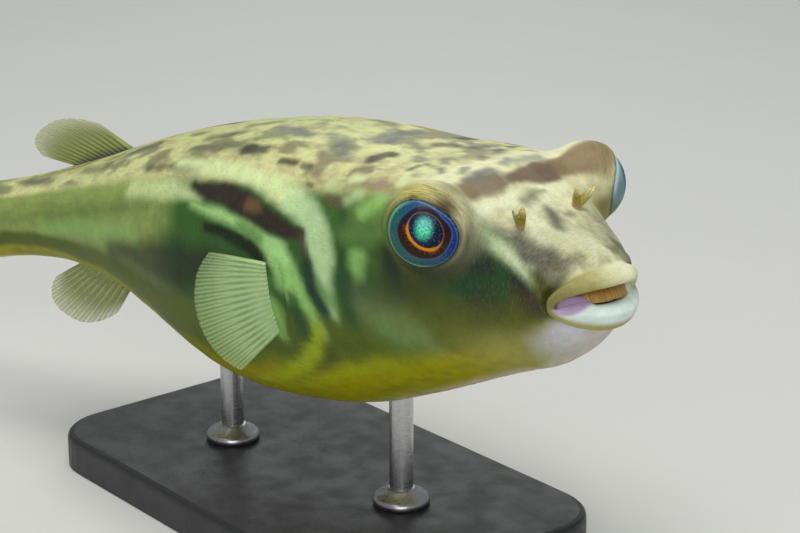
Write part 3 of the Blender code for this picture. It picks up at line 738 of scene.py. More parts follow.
# Markings as (colour, strength, softness in mm, side, line, half widths in mm), laid in order.
# Side 0 is both sides, -1 the right and 1 the left, and a line of one side may run below
# 0 degrees, over the back's midline.
MARKINGS = (
    # Mottled back.
    (MOTTLE_BLUE, 0.8, 1.2, -1, ((62, -10), (62.5, 0), (61, 9)), (2.6, 3.8, 2.8)),
    (MOTTLE, 0.8, 0.9, -1, ((44, -16), (44, -9)), (1.5, 1.5)),
    (MOTTLE, 0.8, 0.9, -1, ((48, -7), (50, -2)), (1.9, 1.9)),
    (MOTTLE_BLUE, 0.7, 0.9, 0, ((46.5, 17), (44, 21)), (1.1, 1.2)),
    (MOTTLE_BLUE, 0.75, 0.8, 0, ((41.8, 12), (39.4, 17)), (1.0, 0.9)),
    (MOTTLE, 0.75, 0.9, -1, ((40, -16), (37.5, -12)), (0.9, 1.0)),
    (MOTTLE, 0.7, 0.8, -1, ((38.6, -2), (36.6, 2)), (0.9, 0.8)),
    (MOTTLE, 0.7, 0.7, 0, ((37, 24), (35.4, 27)), (0.7, 0.7)),
    (MOTTLE_BLUE, 0.75, 0.8, -1, ((34, 18), (32.6, 23)), (0.9, 0.8)),
    (MOTTLE_BLUE, 0.7, 0.9, -1, ((34, -7), (32.4, -2)), (1.0, 0.9)),
    (PINK_BROWN, 0.7, 1.1, -1, ((44, 41), (41.5, 48)), (1.4, 1.5)),
    (PINK_BROWN, 0.35, 1.6, -1, ((54, 29), (51, 36)), (1.8, 1.8)),
    (PALE_CREAM, 0.7, 0.9, -1, ((40.6, 35), (39.4, 41)), (0.9, 0.9)),
    (MOTTLE_DARK, 0.85, 0.8, 0, ((52.5, 21), (53.5, 27)), (1.7, 1.8)),
    (MOTTLE, 0.8, 0.6, 0, ((42, 26), (42, 30)), (0.7, 0.7)),
    (MOTTLE_BLUE, 0.7, 1.6, -1, ((74, 14), (67, 21), (61, 28)), (1.2, 2.1, 1.5)),
    (MOTTLE_BLUE, 0.8, 1.2, -1, ((78, 18), (85, 16), (92, 13)), (1.6, 2.5, 1.5)),
    (MOTTLE, 0.5, 1.6, 0, ((92, 31), (102, 30), (112, 31)), (1.8, 2.2, 1.2)),
    (MOTTLE_DARK, 0.85, 0.9, 0, ((84.5, 33), (91.5, 33)), (1.4, 1.6)),
    (MOTTLE_DARK, 0.85, 0.7, 0, ((71.5, 38), (76.5, 38)), (1.0, 1.0)),
    (MOTTLE, 0.8, 0.6, 0, ((67, 39), (69, 39)), (0.8, 0.8)),
    (PINK_BROWN, 0.22, 2.2, 0, ((47, 43), (63, 42)), (2.6, 2.6)),
    (PALE_CREAM, 0.8, 1.2, -1, ((49.5, 41), (52, 41)), (1.3, 1.5)),
    (PALE_CREAM, 0.5, 1.3, -1, ((54, 45), (57, 46)), (1.2, 1.2)),
    (SPOT_BROWN, 0.8, 0.7, 0, ((62.5, 48), (64, 47)), (0.7, 0.7)),
    (SPOT_BROWN, 0.8, 0.8, 0, ((52, 55), (56, 53)), (1.1, 1.2)),
    (PINK_BROWN, 0.7, 1.0, 0, ((42, 45), (44, 45)), (1.2, 1.2)),
    (MOTTLE_DARK, 0.6, 1.0, 0, ((113, 42), (119, 42), (125, 43)), (0.8, 1.5, 0.9)),
    (MOTTLE, 0.7, 1.2, 1, ((70, 12), (77, 16)), (1.8, 1.4)),
    (MOTTLE, 0.7, 1.4, 0, ((101, 18), (110, 22)), (1.6, 1.8)),
    (MOTTLE, 0.7, 1.4, -1, ((96, 4), (103, 8)), (1.4, 1.7)),
    (MOTTLE_DARK, 0.7, 1.4, 1, ((113, 4), (123, 9)), (1.8, 1.5)),
    (MOTTLE, 0.7, 1.4, 0, ((130, 20), (139, 24)), (1.7, 1.4)),
    (MOTTLE, 0.6, 1.4, 0, ((144, 34), (153, 30)), (1.2, 1.4)),
    (MOTTLE, 0.6, 1.4, 0, ((164, 36), (176, 24)), (1.0, 1.2)),
    # Behind the fins and along the tail.
    (BLACK_GREEN, 0.8, 3.0, 0, ((93, 88), (105, 90), (120, 92), (136, 96)), (4.0, 5.6, 4.6, 2.0)),
    (DARK_GREEN, 0.35, 2.2, 0, ((120, 66), (140, 70), (160, 76), (184, 84)), (1.2, 2.0, 1.4, 0.8)),
    (PALE_CREAM, 0.7, 1.5, 0, ((99, 57), (112, 55), (128, 56)), (1.1, 2.2, 1.6)),
    (PALE_GREEN, 0.55, 2.0, 0, ((124, 82), (142, 86), (166, 92)), (1.2, 2.0, 1.2)),
    # Flank, dark bands under the pale ones.
    (MID_GREEN, 0.6, 1.2, 0, ((42, 57), (47, 56)), (2.0, 2.0)),
    (DARK_GREEN, 0.9, 1.6, 0, ((50, 61), (50, 75), (51, 90), (50, 100), (51, 109)),
     (1.3, 1.4, 2.5, 2.4, 1.6)),
    (BLACK_GREEN, 0.95, 1.0, 0, ((95, 71), (88, 72.5), (80, 75.5), (75, 81), (70.5, 89)),
     (1.1, 1.6, 1.9, 1.9, 1.2)),
    (PALE_CREAM, 0.94, 1.5, 0, ((113, 40), (105, 42), (95, 44), (88, 46), (80, 48), (73, 51.5), (66, 55.5)),
     (1.0, 1.7, 1.8, 1.7, 1.9, 2.3, 2.8)),
    (PALE_MIST, 0.94, 2.0, 0,
     ((66, 56), (60.5, 60.5), (57, 70), (56, 82), (56, 91), (55.7, 99), (55.5, 106)),
     (2.8, 3.6, 4.0, 3.5, 2.3, 1.3, 0.5)),
    (DARK_OLIVE, 0.75, 1.6, 0, ((61, 121), (68, 126), (77, 131)), (2.0, 2.2, 1.6)),
    (BAND_GREEN, 0.94, 1.6, 0,
     ((102, 61), (95, 63.5), (88, 65.5), (80, 68), (73, 73.5), (68.5, 81), (67, 91)),
     (0.5, 1.1, 1.3, 1.4, 1.9, 3.7, 3.5)),
    (PALE_GREEN, 0.9, 1.4, 0, ((67, 91), (64, 98), (61.5, 105), (61, 112)), (3.2, 2.2, 1.5, 1.5)),
    (YELLOW_OLIVE, 0.95, 1.1, 0, ((61, 111), (65, 120), (72, 127), (82, 133), (92, 139)),
     (1.5, 1.6, 1.7, 1.6, 0.8)),
    (MID_GREEN, 0.8, 1.4, 0, ((75, 73), (82, 68.5)), (1.4, 1.3)),
    (DARK_GREEN, 0.85, 0.9, 0, ((66, 99), (65.7, 112)), (1.6, 1.9)),
    (PALE_GREEN, 0.6, 1.0, 0, ((72.5, 101), (72.5, 111)), (1.6, 1.6)),
    (BLOTCH_BROWN, 1.0, 1.2, 0,
     ((103, 52), (100, 54), (90, 55.5), (85, 58), (80, 60), (75, 64), (70, 67), (64, 70), (61.5, 70)),
     (1.0, 2.1, 2.7, 2.8, 2.8, 2.8, 2.6, 2.0, 0.9)),
    (ORANGE_BROWN, 0.5, 1.2, 0, ((77, 60), (80, 59.5)), (1.4, 1.5)),
    (DARK_BROWN, 0.85, 0.8, 0, ((62, 70), (60.3, 84)), (1.1, 1.4)),
    (DARK_TEAL, 0.95, 0.9, 0, ((60.5, 86), (60.5, 95), (58, 104)), (1.4, 1.7, 1.3)),
    (MID_GREEN, 0.6, 2.6, 0, ((39, 70), (49, 70)), (2.4, 2.6)),
    (PALE_GREEN, 0.8, 1.8, 0, ((46, 82), (46.5, 89)), (2.2, 2.0)),
    (PALE_GREEN, 0.75, 1.5, 0, ((41.5, 51), (45, 58)), (1.7, 1.4)),
    (PALE_MIST, 0.5, 1.3, 0, ((50, 53), (47, 50)), (1.0, 1.2)),
    (PALE_MIST, 0.8, 2.0, 0, ((78, 94), (88, 94)), (3.8, 3.0)),
    (YELLOW_OLIVE, 0.55, 1.6, 0, ((45, 133), (60, 131), (75, 137)), (1.2, 1.4, 1.2)),
    # Cheek: painted shade before the eye, below it and behind it; green where light catches it, a painted
    # highlight.
    (CHEEK_PAINTED_SHADE, 0.95, 3.0, 0, ((25, 82), (18, 76), (13, 84)), (5.0, 5.0, 3.0)),
    (CHEEK_PAINTED_SHADE, 0.9, 2.2, 0, ((38, 80), (37.5, 90)), (2.6, 2.6)),
    (STREAK_GREEN, 0.6, 2.2, 1, ((21.5, 56), (16, 64), (12, 74)), (1.4, 2.0, 1.0)),
    (CHEEK_PAINTED_SHADE, 0.55, 3.5, 0, ((47, 103), (33, 98), (20, 95)), (3.0, 3.0, 3.0)),
    (DARK_GREEN, 0.6, 1.6, 0, ((27, 96), (19, 88)), (1.6, 1.8)),
    (CHEEK_HIGHLIGHT, 0.5, 4.0, 0, ((47, 103), (41.5, 109), (34, 119)), (2.0, 3.6, 2.8)),
    (PALE_GREEN, 0.25, 5.0, 0, ((45.4, 110), (42, 117), (35, 120)), (1.6, 3.0, 2.4)),
    (MID_GREEN, 0.75, 1.4, 0, ((57.4, 96), (55.6, 100)), (1.1, 1.7)),
    # Head.
    (BRIGHT_CREAM, 0.8, 1.1, 1, ((24.8, 6), (25.2, 42)), (1.0, 1.2)),
    (BRIGHT_CREAM, 0.8, 1.1, -1, ((24.4, 12), (24.8, 50)), (1.1, 1.3)),
    (MOTTLE_BLUE, 0.6, 1.2, 1, ((32.3, 10), (32.4, 24)), (1.1, 1.1)),
    (BROW_BROWN, 0.9, 0.8, 1, LEFT_BROW_BAR, (2.2, 1.9)),
    (BROW_PURPLE, 0.95, 0.9, 1, ((28, -3), (28.2, 7), (28.5, 20), (28.9, 33)), (1.3, 2.2, 2.4, 2.2)),
    (BROW_PURPLE, 0.85, 0.9, -1, ((28.3, 12), (27.9, 20), (28.1, 31)), (2.1, 2.3, 2.0)),
    (MOTTLE_BLUE, 0.85, 1.0, -1, ((31.2, 9), (30.6, 17), (30.2, 25)), (1.2, 1.5, 1.1)),
    (BROW_BROWN, 0.6, 1.0, -1, ((28.2, 31), (28.8, 39), (29.3, 47)), (1.7, 1.5, 1.1)),
    (BRIGHT_CREAM, 0.7, 1.5, -1, ((21, 12), (18, 22), (15.5, 27)), (1.4, 1.6, 1.2)),
    (BRIGHT_CREAM, 0.6, 1.5, -1, ((21.5, -8), (21, 6)), (1.2, 1.2)),
    (BRIGHT_CREAM, 0.8, 1.4, -1, ((16.5, 14), (13.5, 6), (11.5, -3)), (1.2, 1.8, 1.3)),
    (MOTTLE, 0.7, 1.2, -1, ((23.8, 0), (23, 9)), (1.1, 1.2)),
    (MOTTLE, 0.85, 1.2, -1, ((19.6, 0), (17.4, 3), (15.4, 7)), (1.1, 1.5, 1.2)),
    (MOTTLE, 0.6, 0.9, -1, ((24, -9), (24, -5)), (0.7, 0.7)),
    (MOTTLE, 0.6, 0.9, -1, ((17.5, -14), (17, -10)), (0.8, 0.8)),
    # Painted shade along the crease above the upper lip.
    (MOUTH_FOLD_SHADE, 0.7, 0.9, 0, ((10.8, 64), (10.5, 40), (10.3, 18)), (1.3, 1.2, 0.5)),
    (HATCH_GREY, 0.25, 2.8, -1, ((14, 30), (12.5, 0), (14, -24)), (2.6, 2.4, 2.2)),
    # Painted shade below the front of the right eye.
    (CHEEK_GREY_SHADE, 0.85, 2.4, -1, ((28, 66), (24, 60), (21.5, 53), (20, 46)), (2.4, 2.7, 2.2, 1.2)),
    (CHEEK_GREY_SHADE, 0.45, 2.2, -1, ((25.5, 52), (22.5, 44), (20.5, 38)), (1.8, 2.0, 1.4)),
    (HATCH_GREY, 0.88, 1.6, -1, ((21, 50), (16.5, 47), (13.2, 46), (11.4, 36)), (1.8, 3.0, 2.5, 1.3)),
    (HATCH_GREY, 0.5, 2.0, 1, ((19, 46), (15, 44), (12, 38)), (1.8, 2.6, 1.6)),
    (STREAK_GREEN, 0.72, 2.4, -1, ((22, 49), (19, 53), (15.8, 61), (12.9, 71)), (1.4, 2.1, 1.6, 1.3)),
    (BRIGHT_CREAM, 0.45, 1.6, -1, ((19, 53), (16.2, 58), (13.2, 69)), (1.0, 1.3, 0.9)),
    (HATCH_GREY, 0.7, 1.1, -1, ((14.2, 53), (12.6, 53), (11.0, 44)), (1.0, 1.3, 0.8)),
    (DARK_GREEN, 0.7, 1.4, 0, ((16.5, 76), (16.5, 96)), (1.5, 1.3)),
)


def markings_on(skin, tint):
    """Lays the markings over the ground, their edges made uneven by a slow noise.

    The noise moves them little on the right side and more on the left, so that the two
    sides are not mirror images.
    """
    reach = np.where(skin.is_left, 3.4, 1.0) * fade(skin.station, 8, 30)
    station = skin.station + reach * (rough_noise(skin.flat, 6.0, 11.0) - 0.5)
    span = skin.span + reach * (rough_noise(skin.flat, 6.0, 23.0) - 0.5)
    to_right = np.where(skin.is_left, -span, span)
    edge = 1.1 * (rough_noise(skin.flat, 1.9, 41.0) - 0.5)
    for colour, strength, soft, side, line, widths in MARKINGS:
        line = rounded_line(line)
        across = span if side == 0 else -side * to_right
        distance, place = line_distance(station, across, line, skin.radius_at)
        half = np.interp(place, np.linspace(0, 1, len(widths)), widths) + edge * min(1.0, soft)
        tint = lay(tint, (colour, strength * fade(distance, half + soft, half - soft)))
    return tint


def skin_tint(skin):
    """The skin's colour at every point, painted in layers: ground, mottling, markings, face."""
    station, turn = skin.station, skin.turn
    slow = 10 * (rough_noise(skin.flat, 9.0, 51.0) - 0.5)
    mottle = rough_noise(skin.flat, (6.5, 3.6, 4.6), 5.0)
    fine_mottle = rough_noise(skin.flat, (3.4, 1.9, 1.9), 9.0)
    rear = fade(station + slow, 104, 122)
    flank = lay(FLANK_GREEN, (REAR_GREEN, rear))
    # The lower flank is darkened partly by painted shade.
    low = lay(LOWER_OLIVE_AND_SHADE, (BELLY_YELLOW, fade(turn + slow, 120, 134)))
    cheek = lay(CHEEK_OLIVE, (FLANK_GREEN, 0.6 * hill(station + slow, 46, 9)))
    cloud = fade(station, 34, 24) * fade(rough_noise(skin.flat, 4.2, 61.0), 0.46, 0.66)
    tint = lay(
        BACK_CREAM,
        # Back, flank and belly.
        (flank, fade(turn + 0.4 * slow, 45, 55)),
        (REAR_GREEN * 0.8, 0.5 * rear * fade(mottle, 0.5, 0.62) * fade(turn, 50, 62)),
        (low, fade(turn + 0.6 * slow, 97, 108)),
        (BELLY_PALE, fade(turn, 152, 170)),
        (MOTTLE, 0.7 * fade(turn, 52, 42) * fade(station, 32, 42) * fade(mottle, 0.49, 0.66)),
        (REAR_GREEN, 0.3 * fade(station, 60, 95) * fade(turn, 50, 10)),
        (PINK_BROWN, 0.4 * fade(turn, 54, 42) * fade(fine_mottle, 0.48, 0.66)),
        (LOWER_OLIVE_AND_SHADE, 0.4 * fade(turn, 110, 120) * fade(turn, 158, 145) * fade(mottle, 0.52, 0.64)),
        # Cheek and snout.
        (cheek, fade(station, 46, 39) * fade(turn, 58, 70) * fade(turn, 136, 120)),
        (SNOUT_CREAM, fade(station, 40, 33) * fade(turn, 68, 52)),
        (REAR_GREEN * 0.7, 0.75 * hill(station, 43, 7.5) * hill(turn, 55, 12)),
        (SNOUT_CLOUD, 0.45 * cloud * fade(turn, 60, 45)))
    tint = lay(
        markings_on(skin, tint),
        # Chin, and painted shade round the corners of the mouth.
        (CHIN_OLIVE, 0.8 * fade(station, 34, 16) * fade(turn, 112, 128)),
        (CHIN_LILAC, 0.9 * fade(station, 16.0, 8.5) * fade(turn, 116, 136)),
        (CHIN_PINK, 0.7 * fade(station, 40, 20) * fade(turn, 152, 168)),
        # Painted shade round the corners of the mouth.
        (MOUTH_FOLD_SHADE, 0.85 * hill(station, 10.5, 3.6) * hill(turn, 98, 13)))
    tint = lips_and_mouth(skin, around_eyes(skin, tint))
    return np.clip(tint * (0.84 + 0.32 * rough_noise(skin.flat, 2.4, 31.0))[..., None], 0.0, 1.0)


def around_eyes(skin, tint):
    """Paints the skin round each eye.

    It is olive over the eye, green behind it, and dark with painted shade below it and
    before it, with a cream patch before its upper edge and a ring of painted shade along
    the opening's edge. The right brow is brown above its front, and the left one carries
    the end of the bar that crosses the head and painted shade under its front.
    """
    for _, side in SIDES:
        distance, past, turn = about_eye(skin.points, side)
        near = fade(distance, BROW_RADIUS + 3.5, BROW_RADIUS + 0.6)
        ring = near * fade(past, 46, 16)

        def towards(way, spread):
            return ring * hill(turn_from(turn, way), 0, spread)

        tint = lay(
            tint,
            (EYE_GREEN, 0.85 * towards(172, 42)),
            # The next two coats are painted shade below the eye and before it.
            (EYE_SHADE, 0.9 * towards(-82, 66)),
            (EYE_GREY_SHADE, 0.8 * towards(-22, 34)),
            (EYE_CREAM * 0.55, 0.7 * near * hill(past, 5, 4) * hill(turn, -10, 40)),
            (EYE_CREAM, 0.95 * towards(30, 28)),
            (EYE_OLIVE, 0.9 * towards(105, 42)))
        if side < 0:
            tint = lay(tint, (EYE_BROWN, 0.95 * towards(54, 24) * fade(past, 28, 9)))
        else:
            wide = fade(distance, BROW_RADIUS + 4.5, BROW_RADIUS + 2.5)
            before = wide * fade(past, 4, 18)
            bar = fade(skin.near(LEFT_BROW_BAR)[0], 2.7, 1.3)
            tint = lay(
                tint,
                (SNOUT_CREAM, 0.9 * before * (1 - bar) * fade(turn, -10, 8)),
                # Painted shade under the front of the left brow.
                (EYE_OLIVE * 0.55, 0.8 * wide * hill(turn, -26, 34)),
                (BROW_BROWN, 0.8 * before * bar))
        # Painted shade round the opening's edge.
        tint = lay(tint, (EYE_SHADE, 0.6 * near * fade(past, 7, 2)))
    return tint


def lips_and_mouth(skin, tint):
    """Cream upper lip, blue-white lower lip with a yellow rim, and a lilac mouth.

    Both lips run to an olive rim round the corners of the mouth, behind a fold darkened by
    painted shade. On the right the lilac starts at the front of the lips near the corners
    and behind their edge in the middle; on the left it is pale.
    """
    turn, place, is_left = skin.turn, skin.place, skin.is_left
    to_corner = fade(turn, np.where(is_left, 50, 20), 76) * fade(turn, 128, 100)
    from_middle = np.where(is_left, -0.6, 1.0) * turn
    upper_lip = lay(LIP_CREAM, (LIP_RIM, fade(from_middle, -18, 34)),
                    (LIP_OLIVE, 0.8 * fade(from_middle, 44, 84)))
    lips = lay(LIP_RIM, (LIP_BLUE_WHITE, fade(place, 0.38, 0.56)), (upper_lip, fade(turn, 104, 90)),
               (LIP_OLIVE, 0.85 * to_corner * fade(place, 0.85, 0.55)))
    fold = hill(skin.past_fold, 0.0, 0.6) * fade(turn, 34, 66) * fade(turn, 132, 108)
    start = 1.0 - np.where(is_left, 0.1, 0.47) * fade(turn, 168, 112) * fade(turn, 84, 98)
    inside = lay(MOUTH_LILAC, (LIP_CREAM, 0.9 * is_left))
    return lay(
        tint,
        (lips, fade(skin.past_fold, -0.5, 0.7)),
        # Painted shade in the fold behind the lips.
        (MOUTH_FOLD_SHADE * 0.6, 0.85 * fold),
        (inside, fade(place, start - 0.05, start + 0.07)),
        # Painted shade deeper in the throat.
        (MOUTH_DEEP_SHADE, fade(place, 1.45, 1.95)))


# ---------------------------------------------------------------- shader nodes

class Nodes:
    """Adds nodes to a tree and joins them; an input may be a number, a colour or a socket."""

    def __init__(self, tree):
        self.tree = tree

    def join(self, source, target):
        self.tree.links.new(source, target)

    def add(self, kind, inputs=None, **settings):
        node = self.tree.nodes.new(kind)
        for key, value in settings.items():
            setattr(node, key, value)
        for key, value in (inputs or {}).items():
            if isinstance(value, bpy.types.NodeSocket):
                self.join(value, node.inputs[key])
            else:
                node.inputs[key].default_value = value
        return node

    def maths(self, operation, a, b=0.0, c=0.0):
        return self.add("ShaderNodeMath", {0: a, 1: b, 2: c}, operation=operation).outputs[0]

    def times(self, a, b):
        return self.maths("MULTIPLY", a, b)

    def span(self, value, low, high, to_low=0.0, to_high=1.0):
        """Maps low to high smoothly onto to_low to to_high."""
        names = {"Value": value, "From Min": low, "From Max": high, "To Min": to_low, "To Max": to_high}
        return self.add("ShaderNodeMapRange", names, interpolation_type="SMOOTHSTEP").outputs["Result"]

    def noise(self, vector, scale, detail=2.0, roughness=0.5):
        names = {"Vector": vector, "Scale": scale, "Detail": detail, "Roughness": roughness}
        return self.add("ShaderNodeTexNoise", names).outputs["Fac"]

    def mix(self, share, a, b, blend="MIX"):
        names = {0: share, 6: a, 7: b}
        return self.add("ShaderNodeMix", names, data_type="RGBA", blend_type=blend).outputs[2]

    def tinge(self, base, colour, mask, share):
        """Mixes a colour into base by a share of a mask."""
        return self.mix(self.times(mask, share), base, (*colour, 1))

    def scaled(self, vector, factors):
        names = {0: vector, 1: factors}
        return self.add("ShaderNodeVectorMath", names, operation="MULTIPLY").outputs[0]

    def attribute(self, name, output="Vector"):
        return self.add("ShaderNodeAttribute", attribute_name=name).outputs[output]

    def place(self):
        return self.add("ShaderNodeTexCoord").outputs["Object"]

    def group(self, tree, **inputs):
        return self.add("ShaderNodeGroup", inputs, node_tree=tree).outputs


def new_group(name, inputs, outputs):
    """An empty shader group with its sockets, and the nodes of its two ends."""
    tree = bpy.data.node_groups.new(name, "ShaderNodeTree")
    for sockets, in_out in ((inputs, "INPUT"), (outputs, "OUTPUT")):
        for label, kind in sockets.items():
            tree.interface.new_socket(name=label, in_out=in_out, socket_type="NodeSocket" + kind)
    nodes = Nodes(tree)
    return nodes, nodes.add("NodeGroupInput").outputs, nodes.add("NodeGroupOutput").inputs


def grain_group():
    """Fine mottling of a painted surface: its colour broken up at two sizes, and a height."""
    nodes, given, out = new_group(
        "fine_grain", {"Colour": "Color", "Place": "Vector", "Size": "Float", "Depth": "Float"},
        {"Colour": "Color", "Height": "Float"})
    coarse_scale = nodes.maths("DIVIDE", 1.0, given["Size"])
    coarse = nodes.noise(given["Place"], coarse_scale, 3.0, 0.6)
    fine = nodes.noise(given["Place"], nodes.times(coarse_scale, 4.3), 2.0, 0.6)
    both = nodes.maths("ADD", nodes.times(coarse, 0.6), nodes.times(fine, 0.4))
    swing = nodes.times(nodes.maths("SUBTRACT", both, 0.5), given["Depth"])
    factor = nodes.maths("ADD", 1.0, swing)
    grey = nodes.add("ShaderNodeCombineColor", {0: factor, 1: factor, 2: factor}).outputs[0]
    nodes.join(nodes.mix(1.0, given["Colour"], grey, "MULTIPLY"), out["Colour"])
    nodes.join(fine, out["Height"])
    return nodes.tree


def prickle_group():
    """Small rounded prickles at even spacing: a height and a mask of their pale tips."""
    nodes, given, out = new_group(
        "prickles", {"Place": "Vector", "Spacing": "Float", "Amount": "Float"},
        {"Height": "Float", "Tip": "Float"})
    scale = nodes.maths("DIVIDE", 1.0, given["Spacing"])
    names = {"Vector": given["Place"], "Scale": scale, "Randomness": 0.85}
    cells = nodes.add("ShaderNodeTexVoronoi", names, feature="F1").outputs["Distance"]
    nodes.join(nodes.times(nodes.span(cells, 0.42, 0.0), given["Amount"]), out["Height"])
    nodes.join(nodes.times(nodes.span(cells, 0.2, 0.05), given["Amount"]), out["Tip"])
    return nodes.tree


def streak_group():
    """Fine parallel lines from a noise drawn out one way: a mask of dark and one of pale lines."""
    nodes, given, out = new_group(
        "fine_streaks", {"Place": "Vector", "Scale": "Float", "Amount": "Float"},
        {"Dark": "Float", "Pale": "Float"})
    lines = nodes.noise(given["Place"], given["Scale"], 3.0, 0.6)
    nodes.join(nodes.times(nodes.span(lines, 0.5, 0.36), given["Amount"]), out["Dark"])
    nodes.join(nodes.times(nodes.span(lines, 0.54, 0.68), given["Amount"]), out["Pale"])
    return nodes.tree


GRAIN = grain_group()
PRICKLES = prickle_group()
STREAKS = streak_group()


def new_material(name, roughness, **constants):
    """A material with its Principled shader, whose constants are set on its own sockets."""
    made = bpy.data.materials.new(name)
    made.use_nodes = True
    shader = made.node_tree.nodes["Principled BSDF"]
    shader.inputs["Roughness"].default_value = roughness
    for key, value in constants.items():
        shader.inputs[key.replace("_", " ")].default_value = value
    return made, Nodes(made.node_tree), shader


def add_grain(nodes, shader, colour, place, size, depth):
    """Joins a colour broken up by fine grain to the shader, and gives the grain's height."""
    grain = nodes.group(GRAIN, Colour=colour, Place=place, Size=size, Depth=depth)
    nodes.join(grain["Colour"], shader.inputs["Base Color"])
    return grain["Height"]


def add_bump(nodes, shader, height, distance, strength):
    bump = nodes.add("ShaderNodeBump", {"Height": height, "Distance": distance, "Strength": strength})
    nodes.join(bump.outputs["Normal"], shader.inputs["Normal"])


def skin_material():
    """Painted fish skin: grain and prickles all over, streaks on the snout, wrinkles by the eyes."""
    made, nodes, shader = new_material(
        "painted_skin", 0.5, Specular_IOR_Level=0.22, Subsurface_Weight=0.06,
        Subsurface_Scale=0.0015, Coat_Weight=0.05, Coat_Roughness=0.35)
    flat = nodes.attribute("flat")
    grain = nodes.group(GRAIN, Colour=nodes.attribute("tint", "Color"), Place=flat, Size=0.0016, Depth=0.55)
    prickles = nodes.group(PRICKLES, Place=flat, Spacing=0.0011, Amount=nodes.attribute("rough", "Fac"))
    streaks = nodes.group(STREAKS, Place=nodes.scaled(flat, (1.0, 0.16, 0.16)), Scale=5200.0,
                          Amount=nodes.attribute("streaky", "Fac"))
    wrinkles = nodes.group(STREAKS, Place=nodes.attribute("round_eye"), Scale=1.0,
                           Amount=nodes.attribute("wrinkled", "Fac"))
    dark = nodes.maths("MULTIPLY_ADD", streaks["Dark"], 0.34, wrinkles["Dark"])
    pale = nodes.maths("MAXIMUM", streaks["Pale"], wrinkles["Pale"])
    colour = nodes.tinge(grain["Colour"], (0.85, 0.86, 0.7), prickles["Tip"], 0.035)
    colour = nodes.tinge(colour, (0.05, 0.045, 0.03), dark, 0.42)
    colour = nodes.tinge(colour, (0.85, 0.83, 0.68), pale, 0.05)
    nodes.join(colour, shader.inputs["Base Color"])
    height = nodes.maths("MULTIPLY_ADD", prickles["Height"], 0.55, nodes.times(grain["Height"], 0.5))
    height = nodes.maths("SUBTRACT", height, nodes.times(dark, 0.7))
    add_bump(nodes, shader, height, 0.0003, 0.7)
    return made


def eye_material():
    """Painted glass: a clear hard coat over the iris, with painted glints and dark flecks laid into its
    colour.
    """
    made, nodes, shader = new_material(
        "glass_eye", 0.5, Specular_IOR_Level=0.12, Coat_Weight=0.15, Coat_Roughness=0.06)
    local = nodes.attribute("eye_local")
    glitter = nodes.attribute("glitter", "Fac")
    speckle = nodes.noise(local, 2100.0, 4.0, 0.72)
    # Painted glints: pale speckles laid into the colour, and dark flecks beside them.
    bright = nodes.times(nodes.span(speckle, 0.55, 0.67), glitter)
    dim = nodes.times(nodes.span(speckle, 0.5, 0.4), glitter)
    colour = nodes.tinge(nodes.attribute("tint", "Color"), (0.24, 0.86, 0.74), bright, 0.55)
    colour = nodes.tinge(colour, (0.004, 0.012, 0.05), dim, 0.7)
    add_grain(nodes, shader, colour, local, 0.0005, 0.7)
    return made


def beak_material():
    """Ribbed orange-brown tooth plate, paler at its biting edge."""
    made, nodes, shader = new_material("beak_plate", 0.32, Specular_IOR_Level=0.5)
    local = nodes.attribute("plate")
    ribs = nodes.noise(nodes.scaled(local, (1.0, 0.12, 0.12)), 3200.0, 2.0, 0.6)
    tint = nodes.attribute("tint", "Color")
    colour = nodes.tinge(tint, (0.16, 0.06, 0.02), nodes.span(ribs, 0.52, 0.36), 0.5)
    add_grain(nodes, shader, colour, local, 0.0006, 0.5)
    add_bump(nodes, shader, ribs, 0.0001, 0.8)
    return made


def tentacle_material():
    """Soft translucent brown-yellow skin with darker flecks."""
    made, nodes, shader = new_material(
        "tentacle_skin", 0.42, Specular_IOR_Level=0.4, Subsurface_Weight=0.25, Subsurface_Scale=0.0008)
    place = nodes.place()
    flecks = nodes.span(nodes.noise(place, 1900.0), 0.54, 0.66)
    colour = nodes.tinge(nodes.attribute("tint", "Color"), (0.09, 0.06, 0.01), flecks, 0.6)
    height = add_grain(nodes, shader, colour, place, 0.0006, 0.6)
    add_bump(nodes, shader, height, 0.00015, 0.6)
    return made


def fin_material():
    """Thin yellowish fin: firm rays, with a clearer web between them."""
    made, nodes, shader = new_material(
        "fin_web", 0.4, Specular_IOR_Level=0.4, Subsurface_Weight=0.2, Subsurface_Scale=0.0015)
    local = nodes.attribute("fin_local")
    height = add_grain(nodes, shader, nodes.attribute("tint", "Color"), local, 0.0012, 0.5)
    joints = nodes.noise(nodes.scaled(local, (1.0, 0.1, 0.1)), 1500.0, 1.0)
    alpha = nodes.maths("SUBTRACT", 1.0, nodes.times(nodes.attribute("web", "Fac"), 0.85))
    nodes.join(alpha, shader.inputs["Alpha"])
    add_bump(nodes, shader, nodes.maths("ADD", height, joints), 0.00015, 0.6)
    return made


def base_material():
    """Dark satin plastic with a fine moulded grain and a roughness that varies a little."""
    made, nodes, shader = new_material("base_plastic", 0.42, Specular_IOR_Level=0.4)
    place = nodes.place()
    add_grain(nodes, shader, (0.028, 0.029, 0.032, 1), place, 0.004, 0.5)
    marks = nodes.noise(place, 160.0, 4.0, 0.6)
    nodes.join(nodes.span(marks, 0.3, 0.7, 0.36, 0.5), shader.inputs["Roughness"])
    add_bump(nodes, shader, nodes.noise(place, 3200.0), 0.00008, 0.8)
    return made


def rod_material():
    """Brushed steel with fine turned lines round the rod."""
    made, nodes, shader = new_material("rod_steel", 0.3, Metallic=1.0)
    place = nodes.place()
    add_grain(nodes, shader, (0.58, 0.58, 0.59, 1), place, 0.003, 0.25)
    lines = nodes.noise(nodes.scaled(place, (0.05, 0.05, 1.0)), 9000.0, 2.0, 0.6)
    nodes.join(nodes.span(lines, 0.3, 0.7, 0.24, 0.42), shader.inputs["Roughness"])
    add_bump(nodes, shader, lines, 0.00003, 0.6)
    return made


